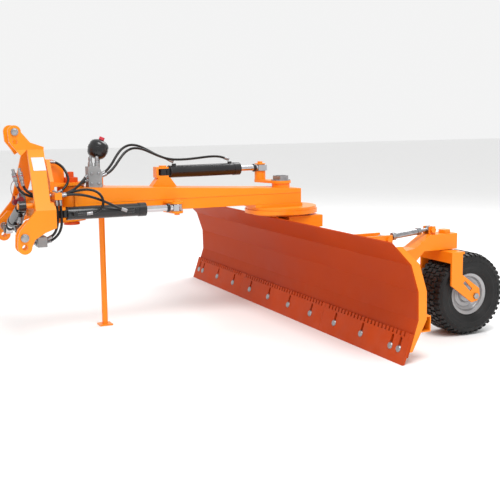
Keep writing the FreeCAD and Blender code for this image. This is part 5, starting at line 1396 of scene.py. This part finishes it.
# ---- beam --------------------------------------------------------------------------------------
@dataclass
class Beam:
    """The box beam with what is mounted on it."""

    shop: Workshop
    seam_height: float = 745.0
    seam_x: tuple[float, float] = (-1180.0, 88.0)
    half_width: float = 90.0
    sleeve_axis: tuple[float, float] = (-1089.0, 150.0)
    sleeve_radius: float = 25.5
    sleeve_heights: tuple[float, float] = (641.5, 818.5)
    vessel_middle: Point = (-1134.0, 15.0, 1032.0)
    vessel_lean: Point = (0.42, 0.0, 1.0)
    cartridges: tuple[Point, ...] = ((-1197.0, -48.0, 941.0), (-1160.0, -48.0, 941.0))
    plugs: tuple[Point, ...] = ((-1200.0, -80.0, 850.0), (-1160.0, -80.0, 850.0),
                                (-1200.0, -80.0, 905.0), (-1160.0, -80.0, 905.0))

    def build(self) -> None:
        """Dresses the beam and makes its details."""
        self.shop.dress(ORANGE, "beam_lower_channel", "beam_upper_channel", "beam_front_boss",
                        "beam_end_plate", "turntable_upper_disc", "cylinder_brackets",
                        "stand_sleeve", "stand_leg")
        self.shop.dress(ZINC, "stand_clamp_screw")
        self.shop.dress(CAST_ALLOY, "valve_block")
        self.build_accumulator()
        self.shop.dress(CAP_PINK, "accumulator_cap")
        front, back = self.seam_x
        seams = [[at(front, y, self.seam_height), at(back, y, self.seam_height)]
                 for y in (-self.half_width, self.half_width)]
        self.shop.welds("beam_seam", seams, "beam", 2.6)
        rings = [circle(at(*self.sleeve_axis, z), UP, self.sleeve_radius)
                 for z in self.sleeve_heights]
        self.shop.welds("stand_sleeve_welds", rings, "beam", 2.4)
        self.build_valve()

    def build_accumulator(self) -> None:
        """Makes the welded pressure vessel: two drawn caps on a short faceted waist."""
        form = bmesh.new()
        add_lathe(form, [(14.0, -55.0), (30.0, -51.0), (42.0, -43.0), (50.0, -32.0), (54.0, -19.0),
                         (55.0, -6.0), (55.0, 8.0), (54.5, 20.0), (53.0, 28.0), (47.0, 39.0),
                         (34.0, 48.0), (20.0, 53.0), (14.0, 55.0)],
                  aim(at(*self.vessel_middle), Vector(self.vessel_lean)), 16)
        self.shop.finish(settle("pressure_vessel", form), "beam", "black_paint", BLACK_PAINT)
        self.shop.dress(BLACK_PAINT, "accumulator")

    def build_valve(self) -> None:
        """Adds the valve's cartridge caps and plugs."""
        form = bmesh.new()
        for spot in self.cartridges:
            stem = aim(at(*spot), UP)
            add_prism(form, 6, 13.5, 0.0, 9.0, stem)
            add_lathe(form, [(10.5, 8.0), (11.5, 10.0), (11.5, 26.0), (10.0, 28.0), (9.0, 28.5),
                             (9.0, 32.0), (10.5, 33.0), (10.5, 50.0), (8.0, 53.0), (0.0, 53.5)],
                      stem, 28)
        for spot in self.plugs:
            plug = aim(at(*spot), LEFT)
            add_prism(form, 6, 8.5, -0.5, 4.0, plug, 0.9)
            add_lathe(form, [(4.0, 3.8), (4.0, 5.0), (2.4, 5.4), (0.0, 4.6)], plug, 12)
        self.shop.finish(settle("valve_caps", form), "beam", "zinc_steel", ZINC)


# ---- blade -------------------------------------------------------------------------------------
@dataclass
class Blade:
    """The moldboard, its edges and the turntable below the beam."""

    shop: Workshop

    def build(self) -> None:
        """Gives the blade's nodes their finishes."""
        # The moldboard gets the orange enamel darkened with painted shade.
        self.shop.dress(BLADE_PAINTED_SHADE, "moldboard")
        self.shop.dress(ORANGE, "blade_ribs", "blade_support", "wheel_bracket",
                        "turntable_lower_disc", "turn_crank")
        # The cutting edges get the orange enamel darkened with painted shade.
        self.shop.dress(EDGE_PAINTED_SHADE, "cutting_edge_left", "cutting_edge_middle",
                        "cutting_edge_right")
        self.shop.dress(ZINC, "edge_bolts", "king_pin_nut")
        self.shop.dress(DARK_STEEL, "king_pin")


# ---- gauge wheel -------------------------------------------------------------------------------
@dataclass
class GaugeWheel:
    """The gauge wheel with its arm, screw link and fork."""

    shop: Workshop
    hub: Point = (634.0, -934.0, 228.6)
    tyre_radius: float = 228.6
    half_width: float = 108.0
    lugs: int = 44
    lug_phase: float = 0.05
    # Each centre lug: its near and far side and how far it is turned round the wheel's axis.
    centre_lugs: tuple[Point, ...] = ((5.0, 33.0, 0.0), (41.0, 69.0, 0.05))
    # Each shoulder lug: its size, its lean, its distance off the middle, its depth, its chamfer.
    shoulder_lugs: tuple[tuple[Point, float, float, float, float], ...] = (
        ((17.0, 32.0, 12.0), 0.28, 86.0, 13.5, 2.4), ((14.0, 27.0, 6.0), 1.18, 101.5, 33.0, 2.0))

    def build(self) -> None:
        """Dresses the arm, fork and link and makes the tyre and rim."""
        self.shop.dress(ORANGE, "wheel_arm", "wheel_fork")
        self.shop.dress(ZINC, "turnbuckle_front_eye", "turnbuckle_sleeve", "turnbuckle_rear_eye",
                        "wheel_axle")
        self.build_tyre()
        self.build_rim()

    def build_tyre(self) -> None:
        """Makes the carcass with its sidewall rings and the tread's blocks."""
        place = aim(at(*self.hub), Vector((0, 1, 0)))
        r, w = self.tyre_radius, self.half_width
        outer = [(103.0, -70.0), (106.0, -80.0), (116.0, -87.0), (122.0, -92.0), (126.0, -92.5),
                 (129.0, -96.0), (150.0, -103.5), (153.0, -105.5), (158.0, -105.8), (160.0, -104.6),
                 (178.0, -w + 1), (186.0, -w + 1.4), (188.0, -w), (192.0, -w), (194.0, -w + 2),
                 (206.0, -101.0), (213.0, -93.0), (217.0, -80.0), (219.0, -60.0), (220.0, -30.0),
                 (220.4, 0.0)]
        profile = outer + [(radius, -height) for radius, height in outer[-2::-1]]
        form = bmesh.new()
        add_ring(form, profile, place, 96)
        self.shop.finish(settle("tyre_carcass", form), "wheel", "tyre_rubber", "tyre_rubber",
                         ("tyre",))
        block = bmesh.new()
        for side in (-1, 1):
            for low, high, turn in self.centre_lugs:
                middle = side * (low + high) / 2
                spin = Matrix.Rotation(turn * side, 4, "Y")
                add_slab(block, (22.0, high - low, 12.0),
                         spin @ Matrix.Translation(Vector((0, middle, r - 6.6)) * MM), 2.0)
            for size, lean, offset, depth, chamfer in self.shoulder_lugs:
                tilt = Matrix.Rotation(side * -lean, 4, "X")
                spot = Vector((0, side * offset, r - depth)) * MM
                add_slab(block, size, Matrix.Translation(spot) @ tilt, chamfer)
        bmesh.ops.recalc_face_normals(block, faces=block.faces)
        source = bpy.data.meshes.new("tread_block")
        block.to_mesh(source)
        block.free()
        tread = self.shop.repeats.spokes.run(
            "tyre_tread", source, {"Count": self.lugs, "Centre": tuple(at(*self.hub)),
                                   "Phase": self.lug_phase}, self.shop.paints["tyre_rubber"])
        self.shop.finish(tread, "wheel", "tyre_rubber", "tyre_rubber", ("tyre",))

    def build_rim(self) -> None:
        """Makes the pressed rim with its flanges, stepped disc and hub."""
        place = aim(at(*self.hub), Vector((0, 1, 0)))
        face = [(17.0, -92.0), (24.0, -92.0), (26.0, -90.0), (27.0, -74.0), (31.0, -72.0),
                (44.0, -70.0), (47.0, -67.0), (52.0, -58.0), (58.0, -56.0), (72.0, -55.0),
                (76.0, -58.0), (84.0, -64.0), (90.0, -66.0), (93.0, -70.0), (96.0, -80.0),
                (101.0, -84.0), (107.0, -86.0), (112.0, -87.0), (115.0, -85.5), (115.0, -83.5),
                (108.0, -82.0), (104.5, -78.0), (102.0, -68.0)]
        profile = face + [(radius, -height) for radius, height in reversed(face)]
        form = bmesh.new()
        add_ring(form, profile, place, 72)
        self.shop.finish(settle("rim_pressing", form), "wheel", "rim_paint", SILVER_PAINT,
                         ("wheel_rim",))


def main() -> None:
    """Builds the studio, the hoses and every sub-assembly in order."""
    logging.basicConfig(level=logging.INFO, format="%(name)s: %(message)s")
    Studio().build()
    shop = Workshop()
    for part in (HoseSet(shop), Hitch(shop), TiltHead(shop), Cylinders(shop), Beam(shop),
                 Blade(shop), GaugeWheel(shop)):
        part.build()
        LOG.info("%s built", type(part).__name__)
    LOG.info("%d pieces", shop.count)


if __name__ == "__main__":
    main()
